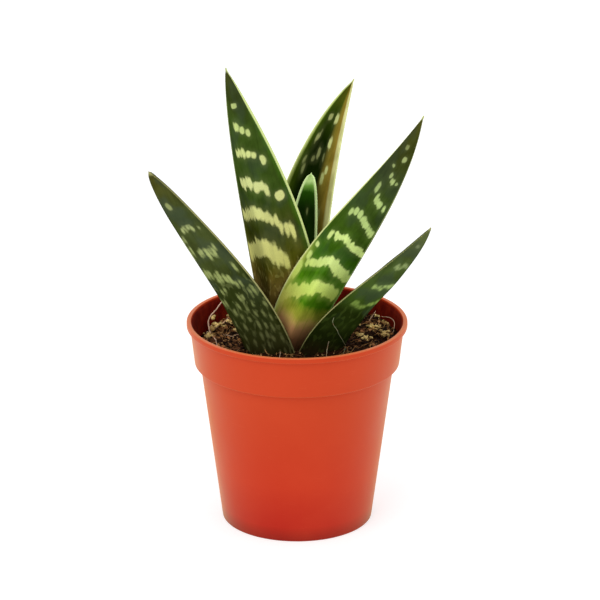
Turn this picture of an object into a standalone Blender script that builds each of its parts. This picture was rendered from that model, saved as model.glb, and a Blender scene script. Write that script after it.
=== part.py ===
"""A young tiger aloe in its nursery pot: pot, soil, stem and seven keeled leaves, each a closed solid.

Metres, +Z up. The origin is the middle of the pot's foot, and the plant is seen from -Y.
Run with: blender --background --python part.py
"""

import math
import random
from dataclasses import dataclass

import bpy
from mathutils import Vector, noise

MM = 0.001
GAP = 0.3 * MM                  # clearance between pieces that touch
WELD = 0.02 * MM                # points closer than this on a turned piece are one
SHARP_ANGLE = math.radians(35)  # edges sharper than this stay sharp in the shading

# Nursery pot, 9 cm across the lip
POT_HEIGHT = 85.0 * MM
LIP_RADIUS = 45.0 * MM
LIP_WIDTH = 1.8 * MM
LIP_HEIGHT = 2.2 * MM
BAND_TOP_RADIUS = 43.6 * MM     # rim band, just under the lip
BAND_FOOT_RADIUS = 41.8 * MM
BAND_HEIGHT = 17.8 * MM         # from the top of the pot to the step below the band
BODY_TOP_RADIUS = 39.5 * MM
FOOT_RADIUS = 30.8 * MM
FOOT_ROUND = 1.2 * MM
WALL = 1.2 * MM
POT_EDGE = 0.5 * MM             # small bevels of the lip, the step and the ledge
FOOT_RING_WIDTH = 3.6 * MM
FOOT_RECESS = 1.8 * MM          # how far the underside is raised inside the foot ring
FLOOR_TOP = 3.2 * MM
PAD_RADIUS = 7.5 * MM           # flat pad in the middle of the underside
DRAIN_HOLES = 6
DRAIN_DIAMETER = 6.0 * MM
DRAIN_CIRCLE = 16.5 * MM
DRAIN_TURN = math.radians(20)   # where the first hole lies, off the pot's own edges
DRAIN_SIDES = 12
POT_SEGMENTS = 64

# Potting soil
SOIL_LEVEL = 75.5 * MM
SOIL_RISE = 2.0 * MM            # the surface is this much higher at the right wall, and lower at the left
SOIL_RING_STEP = 2.3 * MM
SOIL_SEGMENTS = 66
SOIL_LUMP = 1.3 * MM            # height of the slow swell of the surface
SOIL_LUMP_LENGTH = 14.0 * MM
SOIL_LUMP_SEED = 3.7
SOIL_DIP = 2.4 * MM             # depth of the dip in front of the leaves
SOIL_DIP_START = -12.5 * MM     # the dip's upper and lower edge, in front of the axis
SOIL_DIP_END = -18.0 * MM
SOIL_DIP_ROOM = 5.0 * MM        # it fades out over this distance from the pot's wall
SOIL_LEDGE_ROOM = 1.5 * MM      # the soil narrows this far above and below the pot's inner ledge
CRUMB_COUNT = 150
CRUMB_INSET = 2.0 * MM          # crumbs' middles stay this far from the wall
CRUMB_RADIUS = (1.6 * MM, 3.6 * MM)
CRUMB_HEIGHT = (0.6 * MM, 2.0 * MM)
CRUMB_SEED = 11

# Stem: a cone that carries the leaf bases, on a tapering rootstock in the soil
STEM_PROFILE = (
    # radius, height
    (0.0 * MM, 82.0 * MM),
    (2.5 * MM, 81.2 * MM),
    (6.0 * MM, 78.6 * MM),
    (11.0 * MM, 74.6 * MM),
    (15.0 * MM, 70.6 * MM),
    (15.6 * MM, 68.4 * MM),
    (13.4 * MM, 64.6 * MM),
    (8.6 * MM, 58.0 * MM),
    (6.2 * MM, 50.0 * MM),
    (4.6 * MM, 42.0 * MM),
    (2.4 * MM, 37.0 * MM),
    (0.0 * MM, 36.0 * MM),
)
STEM_SEGMENTS = 28

# Leaves
STATIONS = 19                   # sections along a leaf
BEND_POWER = 3.0                # how soon a leaf reaches its outer lean
CURL_POWER = 3.0                # how late the tip curls
WAIST_POWER = 8.0               # how short the narrowing at the base is
INNER_POWER = 1.6               # rounded channel of the upper face
OUTER_POWER = 1.15              # nearly flat flanks that meet at the keel
MARGIN = 1.1 * MM               # thickness of the horny margin
TIP_HALF_WIDTH = 0.35 * MM
SPINE_LENGTH = 0.8 * MM
LEAST_DEPTH = 0.3 * MM          # keeps the leaf solid where it is narrowest
INNER_SHARES = (1.0, 0.72, 0.4, 0.0, -0.4, -0.72, -1.0)
OUTER_SHARES = (-1.0, -0.7, -0.35, 0.0, 0.35, 0.7, 1.0)


@dataclass
class Leaf:
    """One leaf. Level directions are degrees from the front (-Y), positive to the right (+X)."""

    name: str
    base: tuple          # middle of the upper face where the leaf starts, millimetres
    length: float        # along the leaf, millimetres
    width: float         # between the margins at the widest, millimetres
    waist: float         # share of the width that the leaf loses at its very base
    fullness: float      # 1 tapers like a lance, 0.5 like half an ellipse
    faces: float         # level direction that the back of the leaf faces at the base
    turns: float         # how far that direction has turned at the tip
    leans: float         # level direction that the leaf leans in
    lean_base: float     # degrees from upright at the base
    lean_out: float      # degrees from upright along the outer part
    curl: float          # degrees added to the lean at the very tip
    fold: float          # rise of the margins over the channel, as a share of the half width
    keel: float          # depth of the keel below the channel, as a share of the half width


LEAVES = (
    Leaf(
        "leaf_left_outer", base=(-12.0, -5.0, 71.0), length=107.0, width=27.5, waist=0.0, fullness=0.56,
        faces=-58, turns=-4, leans=-53, lean_base=17.5, lean_out=38.5, curl=-3.5, fold=0.46, keel=0.58,
    ),
    Leaf(
        "leaf_right_outer", base=(10.5, -6.5, 72.5), length=91.0, width=24.5, waist=0.0, fullness=0.72,
        faces=53, turns=3, leans=44.5, lean_base=24, lean_out=51, curl=-14, fold=0.41, keel=0.53,
    ),
    Leaf(
        "leaf_back_outer", base=(1.0, 16.0, 71.5), length=62.0, width=24.0, waist=0.2, fullness=0.70,
        faces=178, turns=0, leans=178, lean_base=14, lean_out=40, curl=-8, fold=0.42, keel=0.50,
    ),
    Leaf(
        "leaf_front", base=(-5.5, -9.7, 74.5), length=124.5, width=23.8, waist=0.4, fullness=0.92,
        faces=-8, turns=-10, leans=64, lean_base=17, lean_out=38.5, curl=-15, fold=0.41, keel=0.42,
    ),
    Leaf(
        "leaf_left_inner", base=(-5.0, -1.0, 77.5), length=131.0, width=31.0, waist=0.3, fullness=0.88,
        faces=-23, turns=-2, leans=-33.5, lean_base=6, lean_out=23.5, curl=-4, fold=0.49, keel=0.49,
    ),
    Leaf(
        "leaf_back_inner", base=(-0.8, 10.5, 77.0), length=107.5, width=28.5, waist=0.3, fullness=0.88,
        faces=164, turns=-5, leans=131, lean_base=-5.5, lean_out=18, curl=21, fold=0.44, keel=0.42,
    ),
    Leaf(
        "leaf_heart", base=(0.0, 1.5, 80.0), length=65.0, width=14.8, waist=0.0, fullness=0.46,
        faces=165, turns=0, leans=147, lean_base=1.5, lean_out=10.5, curl=4, fold=0.36, keel=0.36,
    ),
)

# Where two leaf bases press on each other, the first is hollowed to clear the second
PRESSED = (
    ("leaf_front", "leaf_left_outer"),
    ("leaf_left_outer", "leaf_right_outer"),
    ("leaf_left_inner", "leaf_front"),
    ("leaf_back_inner", "leaf_left_inner"),
    ("leaf_left_inner", "leaf_heart"),
)

COLOURS = {
    # base colour, roughness
    "pot": ((0.66, 0.07, 0.02), 0.42),
    "soil": ((0.035, 0.02, 0.012), 0.95),
    "stem": ((0.25, 0.15, 0.07), 0.8),
    "leaf": ((0.05, 0.10, 0.025), 0.45),
}


def clear_scene():
    for thing in list(bpy.data.objects):
        bpy.data.objects.remove(thing, do_unlink=True)


def new_collection(name):
    collection = bpy.data.collections.new(name)
    bpy.context.scene.collection.children.link(collection)
    return collection


def plain_material(name, colour, roughness):
    material = bpy.data.materials.new(name)
    material.use_nodes = True
    shader = material.node_tree.nodes["Principled BSDF"]
    shader.inputs["Base Color"].default_value = (*colour, 1.0)
    shader.inputs["Roughness"].default_value = roughness
    shader.inputs["Metallic"].default_value = 0.0
    return material


def add_object(name, mesh, collection):
    thing = bpy.data.objects.new(name, mesh)
    collection.objects.link(thing)
    return thing


def finish(thing, kind):
    """Gives a piece its own material and smooth shading that keeps its real edges."""
    colour, roughness = COLOURS[kind]
    thing.data.materials.append(plain_material(thing.name + "_finish", colour, roughness))
    thing.data.shade_smooth()
    thing.data.set_sharp_from_angle(angle=SHARP_ANGLE)


def make_cutter(thing):
    thing.hide_render = True
    thing.display_type = "WIRE"


def turned(name, profile, segments, collection):
    """A turned piece: the profile of (radius, height) points spun once about Z by a Screw modifier."""
    mesh = bpy.data.meshes.new(name)
    points = [(radius, 0.0, height) for radius, height in profile]
    edges = [(i, i + 1) for i in range(len(points) - 1)]
    mesh.from_pydata(points, edges, [])
    thing = add_object(name, mesh, collection)
    screw = thing.modifiers.new("turn", "SCREW")
    screw.axis = "Z"
    screw.angle = math.tau
    screw.steps = segments
    screw.render_steps = segments
    screw.use_merge_vertices = True
    screw.merge_threshold = WELD
    return thing


def settle(thing):
    """Replaces an object's mesh by what its modifiers make of it."""
    depsgraph = bpy.context.evaluated_depsgraph_get()
    mesh = bpy.data.meshes.new_from_object(thing.evaluated_get(depsgraph))
    thing.modifiers.clear()
    thing.data = mesh


def cut(thing, cutter):
    difference = thing.modifiers.new("clear_" + cutter.name, "BOOLEAN")
    difference.operation = "DIFFERENCE"
    difference.solver = "EXACT"
    difference.object = cutter


def pot_wall_radius(height):
    """Inner radius of the pot at a height above its foot."""
    step_height = POT_HEIGHT - BAND_HEIGHT
    if height > step_height + WALL:
        share = (height - step_height) / (BAND_HEIGHT - LIP_HEIGHT)
        return BAND_FOOT_RADIUS + (BAND_TOP_RADIUS - BAND_FOOT_RADIUS) * share - WALL
    share = height / step_height
    return FOOT_RADIUS + (BODY_TOP_RADIUS - FOOT_RADIUS) * share - WALL


def pot_profile():
    """From the middle of the floor up the inside, over the lip, and down the outside to the foot."""
    step_height = POT_HEIGHT - BAND_HEIGHT
    ledge = step_height + WALL
    edge = POT_EDGE
    recess_radius = FOOT_RADIUS - FOOT_ROUND - FOOT_RING_WIDTH
    inside = [
        (0.0, FLOOR_TOP),
        (pot_wall_radius(FLOOR_TOP) - FOOT_ROUND, FLOOR_TOP),
        (pot_wall_radius(FLOOR_TOP + FOOT_ROUND), FLOOR_TOP + FOOT_ROUND),
        (BODY_TOP_RADIUS - WALL, step_height - edge),
        (BAND_FOOT_RADIUS - WALL - edge, ledge - edge),
        (pot_wall_radius(ledge + edge), ledge + edge),
        (BAND_TOP_RADIUS - WALL, POT_HEIGHT - LIP_HEIGHT),
        (LIP_RADIUS - LIP_WIDTH - edge, POT_HEIGHT - edge),
    ]
    lip = [
        (LIP_RADIUS - LIP_WIDTH, POT_HEIGHT),
        (LIP_RADIUS - edge, POT_HEIGHT),
        (LIP_RADIUS, POT_HEIGHT - edge),
        (LIP_RADIUS, POT_HEIGHT - LIP_HEIGHT + edge),
        (LIP_RADIUS - edge, POT_HEIGHT - LIP_HEIGHT),
    ]
    outside = [
        (BAND_TOP_RADIUS, POT_HEIGHT - LIP_HEIGHT),
        (BAND_FOOT_RADIUS, step_height + edge),
        (BAND_FOOT_RADIUS - edge, step_height),
        (BODY_TOP_RADIUS, step_height),
    ]
    foot = [
        (
            FOOT_RADIUS - FOOT_ROUND * (1 - math.cos(angle)),
            FOOT_ROUND * (1 - math.sin(angle)),
        )
        for angle in (0.0, math.radians(30), math.radians(60), math.radians(90))
    ]
    underside = [
        (recess_radius, 0.0),
        (recess_radius - edge, FOOT_RECESS),
        (PAD_RADIUS + edge, FOOT_RECESS),
        (PAD_RADIUS, 0.0),
        (0.0, 0.0),
    ]
    return inside + lip + outside + foot + underside


def make_pot(parts, cutters):
    pot = turned("pot", pot_profile(), POT_SEGMENTS, parts)
    for index in range(DRAIN_HOLES):
        angle = math.tau * index / DRAIN_HOLES + DRAIN_TURN
        place = (DRAIN_CIRCLE * math.cos(angle), DRAIN_CIRCLE * math.sin(angle), FLOOR_TOP / 2)
        bpy.ops.mesh.primitive_cylinder_add(
            vertices=DRAIN_SIDES, radius=DRAIN_DIAMETER / 2, depth=FLOOR_TOP * 3, location=place
        )
        drill = bpy.context.object
        drill.name = "drain_drill_%d" % index
        for collection in list(drill.users_collection):
            collection.objects.unlink(drill)
        cutters.objects.link(drill)
        make_cutter(drill)
        cut(pot, drill)
    settle(pot)
    finish(pot, "pot")


def soil_profile():
    """From the middle of the surface out to the wall, down it with clearance, and in along the floor."""
    edge_radius = pot_wall_radius(SOIL_LEVEL) - GAP
    rings = round(edge_radius / SOIL_RING_STEP)
    surface = [(edge_radius * i / rings, SOIL_LEVEL) for i in range(rings + 1)]
    step_height = POT_HEIGHT - BAND_HEIGHT
    ledge = step_height + WALL + GAP
    below_step = step_height - SOIL_LEDGE_ROOM
    wall = [
        (pot_wall_radius(ledge + SOIL_LEDGE_ROOM) - GAP, ledge + SOIL_LEDGE_ROOM),
        (BODY_TOP_RADIUS - WALL - GAP, ledge - SOIL_LEDGE_ROOM),
        (pot_wall_radius(below_step) - GAP, below_step),
        (pot_wall_radius(FLOOR_TOP + 2 * FOOT_ROUND) - GAP, FLOOR_TOP + 2 * FOOT_ROUND),
    ]
    bottom = FLOOR_TOP + GAP
    floor = [(pot_wall_radius(FLOOR_TOP) - 2 * FOOT_ROUND, bottom), (0.0, bottom)]
    return surface + wall + floor


def scatter_crumbs():
    """Seeded places, radii and heights of the crumbs on the soil."""
    draw = random.Random(CRUMB_SEED)
    reach = pot_wall_radius(SOIL_LEVEL) - CRUMB_INSET
    crumbs = []
    for _ in range(CRUMB_COUNT):
        distance = reach * math.sqrt(draw.random())
        angle = draw.uniform(0.0, math.tau)
        radius = draw.uniform(*CRUMB_RADIUS)
        height = draw.uniform(*CRUMB_HEIGHT)
        crumbs.append((distance * math.cos(angle), distance * math.sin(angle), radius, height))
    return crumbs


def soil_relief(x, y, crumbs):
    """Height of the surface over its level: the slope to the right, a slow swell, the dip and the crumbs."""
    wall = pot_wall_radius(SOIL_LEVEL)
    relief = SOIL_RISE * x / wall
    place = Vector((x / SOIL_LUMP_LENGTH, y / SOIL_LUMP_LENGTH, SOIL_LUMP_SEED))
    relief += SOIL_LUMP * noise.noise(place)
    share = min(1.0, max(0.0, (y - SOIL_DIP_START) / (SOIL_DIP_END - SOIL_DIP_START)))
    inside = min(1.0, (wall - math.hypot(x, y)) / SOIL_DIP_ROOM)
    relief -= SOIL_DIP * inside * share * share * (3 - 2 * share)
    tallest = 0.0
    for crumb_x, crumb_y, radius, height in crumbs:
        off = math.hypot(x - crumb_x, y - crumb_y) / radius
        if off < 1.0:
            tallest = max(tallest, height * math.sqrt(1.0 - off * off))
    return relief + tallest


def make_soil(parts):
    soil = turned("soil", soil_profile(), SOIL_SEGMENTS, parts)
    settle(soil)
    crumbs = scatter_crumbs()
    for vertex in soil.data.vertices:
        if vertex.co.z > SOIL_LEVEL - WELD:
            vertex.co.z += soil_relief(vertex.co.x, vertex.co.y, crumbs)
    return soil


def grown_profile(profile, clearance):
    """A turned profile moved outwards by a clearance, for the room that a piece needs."""
    middle = (profile[0][1] + profile[-1][1]) / 2
    grown = []
    for radius, height in profile:
        side = clearance if radius > 0.0 else 0.0
        grown.append((radius + side, height + math.copysign(clearance, height - middle)))
    return grown


def make_stem(parts, cutters):
    stem = turned("stem", STEM_PROFILE, STEM_SEGMENTS, parts)
    finish(stem, "stem")
    room = turned("stem_room", grown_profile(STEM_PROFILE, GAP), STEM_SEGMENTS, cutters)
    make_cutter(room)
    return room


def away(degrees):
    """The level direction a leaf faces or leans: 0 is the front, positive is to the right."""
    angle = math.radians(degrees)
    return Vector((math.sin(angle), -math.cos(angle), 0.0))


def leaf_frames(leaf):
    """For each station: its middle, the directions to its side and its upper face, and its half width."""
    up = Vector((0.0, 0.0, 1.0))
    step = leaf.length * MM / (STATIONS - 1)
    middle = Vector(leaf.base) * MM
    last_along = None
    frames = []
    for index in range(STATIONS):
        share = index / (STATIONS - 1)
        lean = leaf.lean_out + (leaf.lean_base - leaf.lean_out) * (1 - share) ** BEND_POWER
        lean = math.radians(lean + leaf.curl * share ** CURL_POWER)
        along = away(leaf.leans) * math.sin(lean) + up * math.cos(lean)
        if last_along is not None:
            middle = middle + (along + last_along) * (step / 2)
        last_along = along
        upper = -away(leaf.faces + leaf.turns * share)
        upper = (upper - along * upper.dot(along)).normalized()
        side = along.cross(upper)
        half_width = leaf.width * MM / 2 * (1 - share ** 2) ** leaf.fullness
        half_width *= 1 - leaf.waist * (1 - share) ** WAIST_POWER
        frames.append((middle, side, upper, along, max(half_width, TIP_HALF_WIDTH)))
    return frames


def leaf_section(leaf, half_width, grow):
    """(side, up) points round one section: across the channelled face, then back over the keel."""
    rise = leaf.fold * half_width
    depth = leaf.keel * half_width + LEAST_DEPTH
    edge = min(MARGIN, rise + depth)
    reach = half_width + grow
    points = []
    for share in INNER_SHARES:
        points.append((share * reach, rise * abs(share) ** INNER_POWER + grow))
    for share in OUTER_SHARES:
        points.append((share * reach, (rise + depth - edge) * abs(share) ** OUTER_POWER - depth - grow))
    return points


def leaf_mesh(name, leaf, grow=0.0):
    """The loft of a leaf through its sections, closed by a pole at the base and by the spine at the tip."""
    vertices = []
    faces = []
    frames = leaf_frames(leaf)
    for middle, side, upper, along, half_width in frames:
        for across, height in leaf_section(leaf, half_width, grow):
            vertices.append(middle + side * across + upper * height)
    ring = len(vertices) // len(frames)
    for station in range(len(frames) - 1):
        for index in range(ring):
            here = station * ring + index
            beside = station * ring + (index + 1) % ring
            faces.append((here, here + ring, beside + ring, beside))
    middle, _, upper, along, half_width = frames[0]
    base_pole = len(vertices)
    vertices.append(middle - upper * (leaf.keel * half_width / 2) - along * grow)
    middle, _, _, along, _ = frames[-1]
    tip_pole = len(vertices)
    vertices.append(middle + along * (SPINE_LENGTH + grow))
    last = (len(frames) - 1) * ring
    for index in range(ring):
        beside = (index + 1) % ring
        faces.append((base_pole, index, beside))
        faces.append((tip_pole, last + beside, last + index))
    mesh = bpy.data.meshes.new(name)
    mesh.from_pydata(vertices, [], faces)
    return mesh


def make_leaves(parts, cutters, stem_room):
    """The leaves, hollowed where they meet the stem and each other, and the room each one takes."""
    leaves = {}
    rooms = {}
    for leaf in LEAVES:
        leaves[leaf.name] = add_object(leaf.name, leaf_mesh(leaf.name, leaf), parts)
        room_name = leaf.name + "_room"
        rooms[leaf.name] = add_object(room_name, leaf_mesh(room_name, leaf, GAP), cutters)
        make_cutter(rooms[leaf.name])
        cut(leaves[leaf.name], stem_room)
    for pressed, presser in PRESSED:
        cut(leaves[pressed], rooms[presser])
    for leaf in leaves.values():
        settle(leaf)
        finish(leaf, "leaf")
    return rooms


def main():
    clear_scene()
    parts = new_collection("potted_tiger_aloe")
    cutters = new_collection("cutters")
    make_pot(parts, cutters)
    stem_room = make_stem(parts, cutters)
    rooms = make_leaves(parts, cutters, stem_room)
    soil = make_soil(parts)
    cut(soil, stem_room)
    for room in rooms.values():
        cut(soil, room)
    settle(soil)
    finish(soil, "soil")


if __name__ == "__main__":
    main()
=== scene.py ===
"""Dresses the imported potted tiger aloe: pot, soil, roots, stem, banded leaves with horny margins, and stage.

Laid out as an add-on and run as a script. Metres, +Z up, but leaves, their marks, roots and loose bits are
given in millimetres. The plant is seen from -Y, and every piece stands where its CAD node stands.
"""

import math
import random
from dataclasses import dataclass

import bpy
import numpy as np
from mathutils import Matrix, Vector, noise


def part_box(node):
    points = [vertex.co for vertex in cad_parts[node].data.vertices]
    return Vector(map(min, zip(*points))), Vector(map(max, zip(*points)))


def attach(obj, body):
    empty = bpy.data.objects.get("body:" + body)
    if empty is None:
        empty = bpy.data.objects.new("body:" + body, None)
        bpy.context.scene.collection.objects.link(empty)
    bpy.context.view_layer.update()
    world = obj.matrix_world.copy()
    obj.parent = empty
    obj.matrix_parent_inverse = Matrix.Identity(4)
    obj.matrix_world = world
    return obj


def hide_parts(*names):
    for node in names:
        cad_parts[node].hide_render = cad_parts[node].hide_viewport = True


bl_info = {
    "name": "Potted Tiger Aloe",
    "version": (1, 0, 0),
    "blender": (4, 5, 0),
    "location": "3D View > Sidebar > Aloe",
    "description": "Finishes a young tiger aloe in its nursery pot around the packed solids",
    "category": "Object",
}

MM = 0.001
BODY = "root"

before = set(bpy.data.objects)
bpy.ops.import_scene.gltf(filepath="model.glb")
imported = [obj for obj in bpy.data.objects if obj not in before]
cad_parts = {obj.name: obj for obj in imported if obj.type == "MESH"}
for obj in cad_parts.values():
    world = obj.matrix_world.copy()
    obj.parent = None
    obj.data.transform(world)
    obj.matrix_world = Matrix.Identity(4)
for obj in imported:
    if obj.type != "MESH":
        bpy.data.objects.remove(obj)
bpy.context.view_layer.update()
POT_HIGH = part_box("pot")[1]

# Nursery pot, turned about Z
POT_HEIGHT = POT_HIGH.z
LIP_RADIUS = POT_HIGH.x
LIP_WIDTH = 1.8 * MM
LIP_HEIGHT = 2.2 * MM
BAND_TOP_RADIUS = 43.6 * MM
BAND_FOOT_RADIUS = 41.8 * MM
BAND_HEIGHT = 17.8 * MM
BODY_TOP_RADIUS = 39.5 * MM
FOOT_RADIUS = 30.8 * MM
FOOT_ROUND = 1.4 * MM
WALL = 1.2 * MM
STEP_HEIGHT = POT_HEIGHT - BAND_HEIGHT
STEP_EDGE = 0.3 * MM
FOOT_RING_WIDTH = 3.6 * MM
FOOT_RECESS = 1.8 * MM
RECESS_EDGE = 0.5 * MM
FLOOR_TOP = 3.2 * MM
PAD_RADIUS = 7.5 * MM
CORNER_RADIUS = 0.5 * MM
FILLET_SHARE = 0.45  # of its shorter side, the most that a rounded corner takes
DRAIN_HOLES = 6
DRAIN_RADIUS = 3.0 * MM
DRAIN_CIRCLE = 16.5 * MM
DRAIN_TURN = math.radians(20)
DRAIN_SEGMENTS = 24
SHARP_ANGLE = math.radians(50)

# Potting soil
SOIL_LEVEL = 75.5 * MM
SOIL_RISE = 2.0 * MM  # higher at the right wall, lower at the left
SOIL_LUMP = 1.3 * MM
SOIL_LUMP_LENGTH = 14.0 * MM
SOIL_LUMP_SEED = 3.7
SOIL_CRUMBLE = 0.75 * MM
SOIL_CRUMBLE_SCALE = 330.0
SOIL_CRUMBLE_NOISE = (0.9, 2.2, 4)  # roughness, step between octaves, octaves
SOIL_DIP = 2.4 * MM  # depth of the dip in front of the leaves
SOIL_DIP_START = -12.5 * MM
SOIL_DIP_END = -18.0 * MM
SOIL_DIP_ROOM = 5.0 * MM  # it fades out over this distance from the pot's wall
SOIL_LEDGE_ROOM = 1.5 * MM
SOIL_GAP = 0.3 * MM
SOIL_SEGMENTS = 420
BITS_DEPTH = 5 * MM  # below the soil's level, the lowest place of a loose bit
BITS_INSET = 0.8  # of the largest bit's length, its least distance from the soil's edge
CRUMB_COUNT = 150
CRUMB_INSET = 2.0 * MM
CRUMB_RADIUS = (1.6 * MM, 3.6 * MM)
CRUMB_HEIGHT = (0.6 * MM, 2.0 * MM)
CRUMB_SEED = 11

# Leaf form, as in the solids, in millimetres
BEND_POWER = 3.0
CURL_POWER = 3.0
WAIST_POWER = 8.0
INNER_POWER = 1.6
OUTER_POWER = 1.15
MARGIN = 1.1  # thickness of the horny margin
TIP_HALF_WIDTH = 0.35
SPINE_LENGTH = 0.8
LEAST_DEPTH = 0.3
KEEL_SOFTNESS = 0.09  # share of the half width over which the keel is rounded
BACK_COLUMNS = 64
UPPER_COLUMNS = 52
COLUMN_CROWDING = 0.35  # how far the columns of the upper face crowd at its margins
BEAD_STEPS = 6  # round each margin
BEAD_INSET = 0.999  # of the margin's radius, how far inside it the faces end
SWELL = 0.22  # height of the skin's slow swell
SWELL_LENGTH = 16.0
SWELLS_ACROSS = 1.3  # on each half of the width
SWELL_REACH = 4.0  # from the margin, where the swell has its full height
SWELL_FULL = 5.0  # half width from which it has its full height
SWELL_APART = 7.0  # between the noises of a leaf's two faces

# Where a leaf's skin is pressed behind another leaf, in millimetres
PRESSED_BEHIND = {"leaf_left_inner": "leaf_front"}
PRESS_GAP = 0.3
PRESS_REACH = 4.0  # beside the front leaf's margin, where the dent ends

# Rows on the faces that the photograph doesn't show, in millimetres
ROW_STEP = 12.5
ROW_START = 22.0  # from the base
ROW_DROP = 0.9  # drop at the margins, as a share of the half width
MARKED_SHARE = 0.9  # of the length, and of the half width, where a run may start
LAST_MARK = 0.92  # share across where a run's last mark lies at the farthest
TIP_MARK = 2.6  # length of a mark near the tip
MARK_GROWTH = 3.4  # how much longer it is near the base
MARK_STEP = 1.5  # between marks in a run
LONGEST_RUN = 5  # marks side by side
RUN_GAPS = (0.2, 0.7, 1.6)  # between runs, one drawn for each
RUN_SLIP = 1.3  # how far a run may lie off its row

# Pale marks of every row, in millimetres
MARK_BLEND = 8.0  # the higher, the less neighbouring marks run together
MARK_CORNER = 2.6  # 2 is an oval mark, more is squarer
MARK_JITTER = 0.8  # along the leaf
MARK_LENGTHS = (0.78, 1.22)  # shares of the row's values, drawn for each mark
MARK_WIDTHS = (0.85, 1.15)
MARK_TONES = (0.85, 1.0)
FARTHEST_MARK = -2.0  # value of the mark field away from all marks
FARTHEST_RIM = -9.0  # value at a leaf's two ends, far from the margin line
FACES_APART = 50.0  # in the paint's noise, between the two faces of a leaf
SEEDS_APART = 3.0  # and between leaves, for each step of the seed

# Teeth on the leaf margins
TOOTH_SINK = 0.15  # millimetres that a tooth's foot is sunk into the margin
TOOTH_RAKE = 0.45  # lean of the teeth to the tip
TOOTH_ENDS = (0.12, 0.985)  # share of the leaf between which it has teeth

# Colours, as red, green and blue from 0 to 255
TIP_OLIVE = (66, 66, 24)
DUSK_GREEN = (59, 69, 29)
DEEP_GREEN = (60, 82, 28)
LEAF_GREEN = (64, 94, 24)
BRIGHT_GREEN = (72, 116, 14)
SHADE_GREEN = (40, 46, 11)
NIGHT_GREEN = (20, 34, 4)
YELLOW_GREEN = (164, 176, 78)
PALE_GREEN = (210, 228, 140)
SOFT_GREEN = (154, 178, 100)
CREAM = (212, 219, 148)
DULL_CREAM = (138, 146, 92)
STRAW = (212, 210, 124)
TAN = (132, 106, 58)
DRY_BROWN = (80, 62, 26)
DARK_BROWN = (38, 26, 10)
GOLDEN = (142, 124, 44)
HORN = (218, 226, 152)
HORN_TAN = (178, 174, 116)
HORN_GREEN = (222, 246, 174)
SLATE = (56, 68, 54)


@dataclass
class Row:
    """A cross row of pale marks. Lengths are millimetres, and shares run from -1 to 1 between the margins."""

    at: float  # place of the row along the leaf, on its middle line
    drop: float  # how much nearer the base the row lies at the margins
    shares: tuple  # where across the leaf the marks lie
    length: float = 3.6
    width: float = 1.5
    tone: float = 1.0  # how pale the marks are


def rows(*given):
    return tuple(Row(*values) for values in given)


@dataclass
class Leaf:
    """One leaf. Level directions are degrees from the front (-Y), positive to the right (+X)."""

    name: str
    base: tuple  # middle of the upper face where the leaf starts, millimetres
    length: float
    width: float
    waist: float  # share of the width lost at the very base
    fullness: float  # 1 tapers like a lance, 0.5 like half an ellipse
    faces: float  # level direction that the back faces at the base
    turns: float  # how far that direction has turned at the tip
    leans: float  # level direction of the lean
    lean_base: float  # degrees from upright
    lean_out: float
    curl: float  # degrees added at the very tip
    fold: float  # rise of the margins, as a share of the half width
    keel: float  # depth of the keel, as a share of the half width
    ground: tuple  # (share of the length, colour) from base to tip
    marks: tuple  # the same for the pale marks
    horn: tuple  # colour of the margin line
    horn_back: float  # millimetres of it on the back
    horn_upper: float  # millimetres of it on the upper face
    horn_sides: tuple  # how plain it is on the minus and on the plus margin
    back_rows: tuple
    upper_rows: tuple = ()
    mirror_rows: bool = False  # the rows are given for one flank and repeat on the other
    edge_tint: tuple = ()  # (share across, colour, strength)
    tint_face: float = 1.0  # 1 tints the upper face and 0 the back
    tint_end: float = 2.0  # share of the length where the tint has faded out
    flecks: tuple = (0.0, 0.0)  # strength of the small dull flecks, and the share of the length they reach
    slate: float = 0.4  # strength of the bluish patches
    horn_full: float = 8.0  # millimetres of half width from which the margin line has its full width
    horn_fade: float = 1.0  # what is left of the margin line near the tip
    soften: float = 1.0  # how much softer than usual the marks' outlines are
    lit: tuple = (1.0, 1.0)  # painted light: how much brighter the marks are painted on the minus and on the plus flank
    glow: float = 0.08  # how far the pale marks shine into the skin round them near the base


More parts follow.
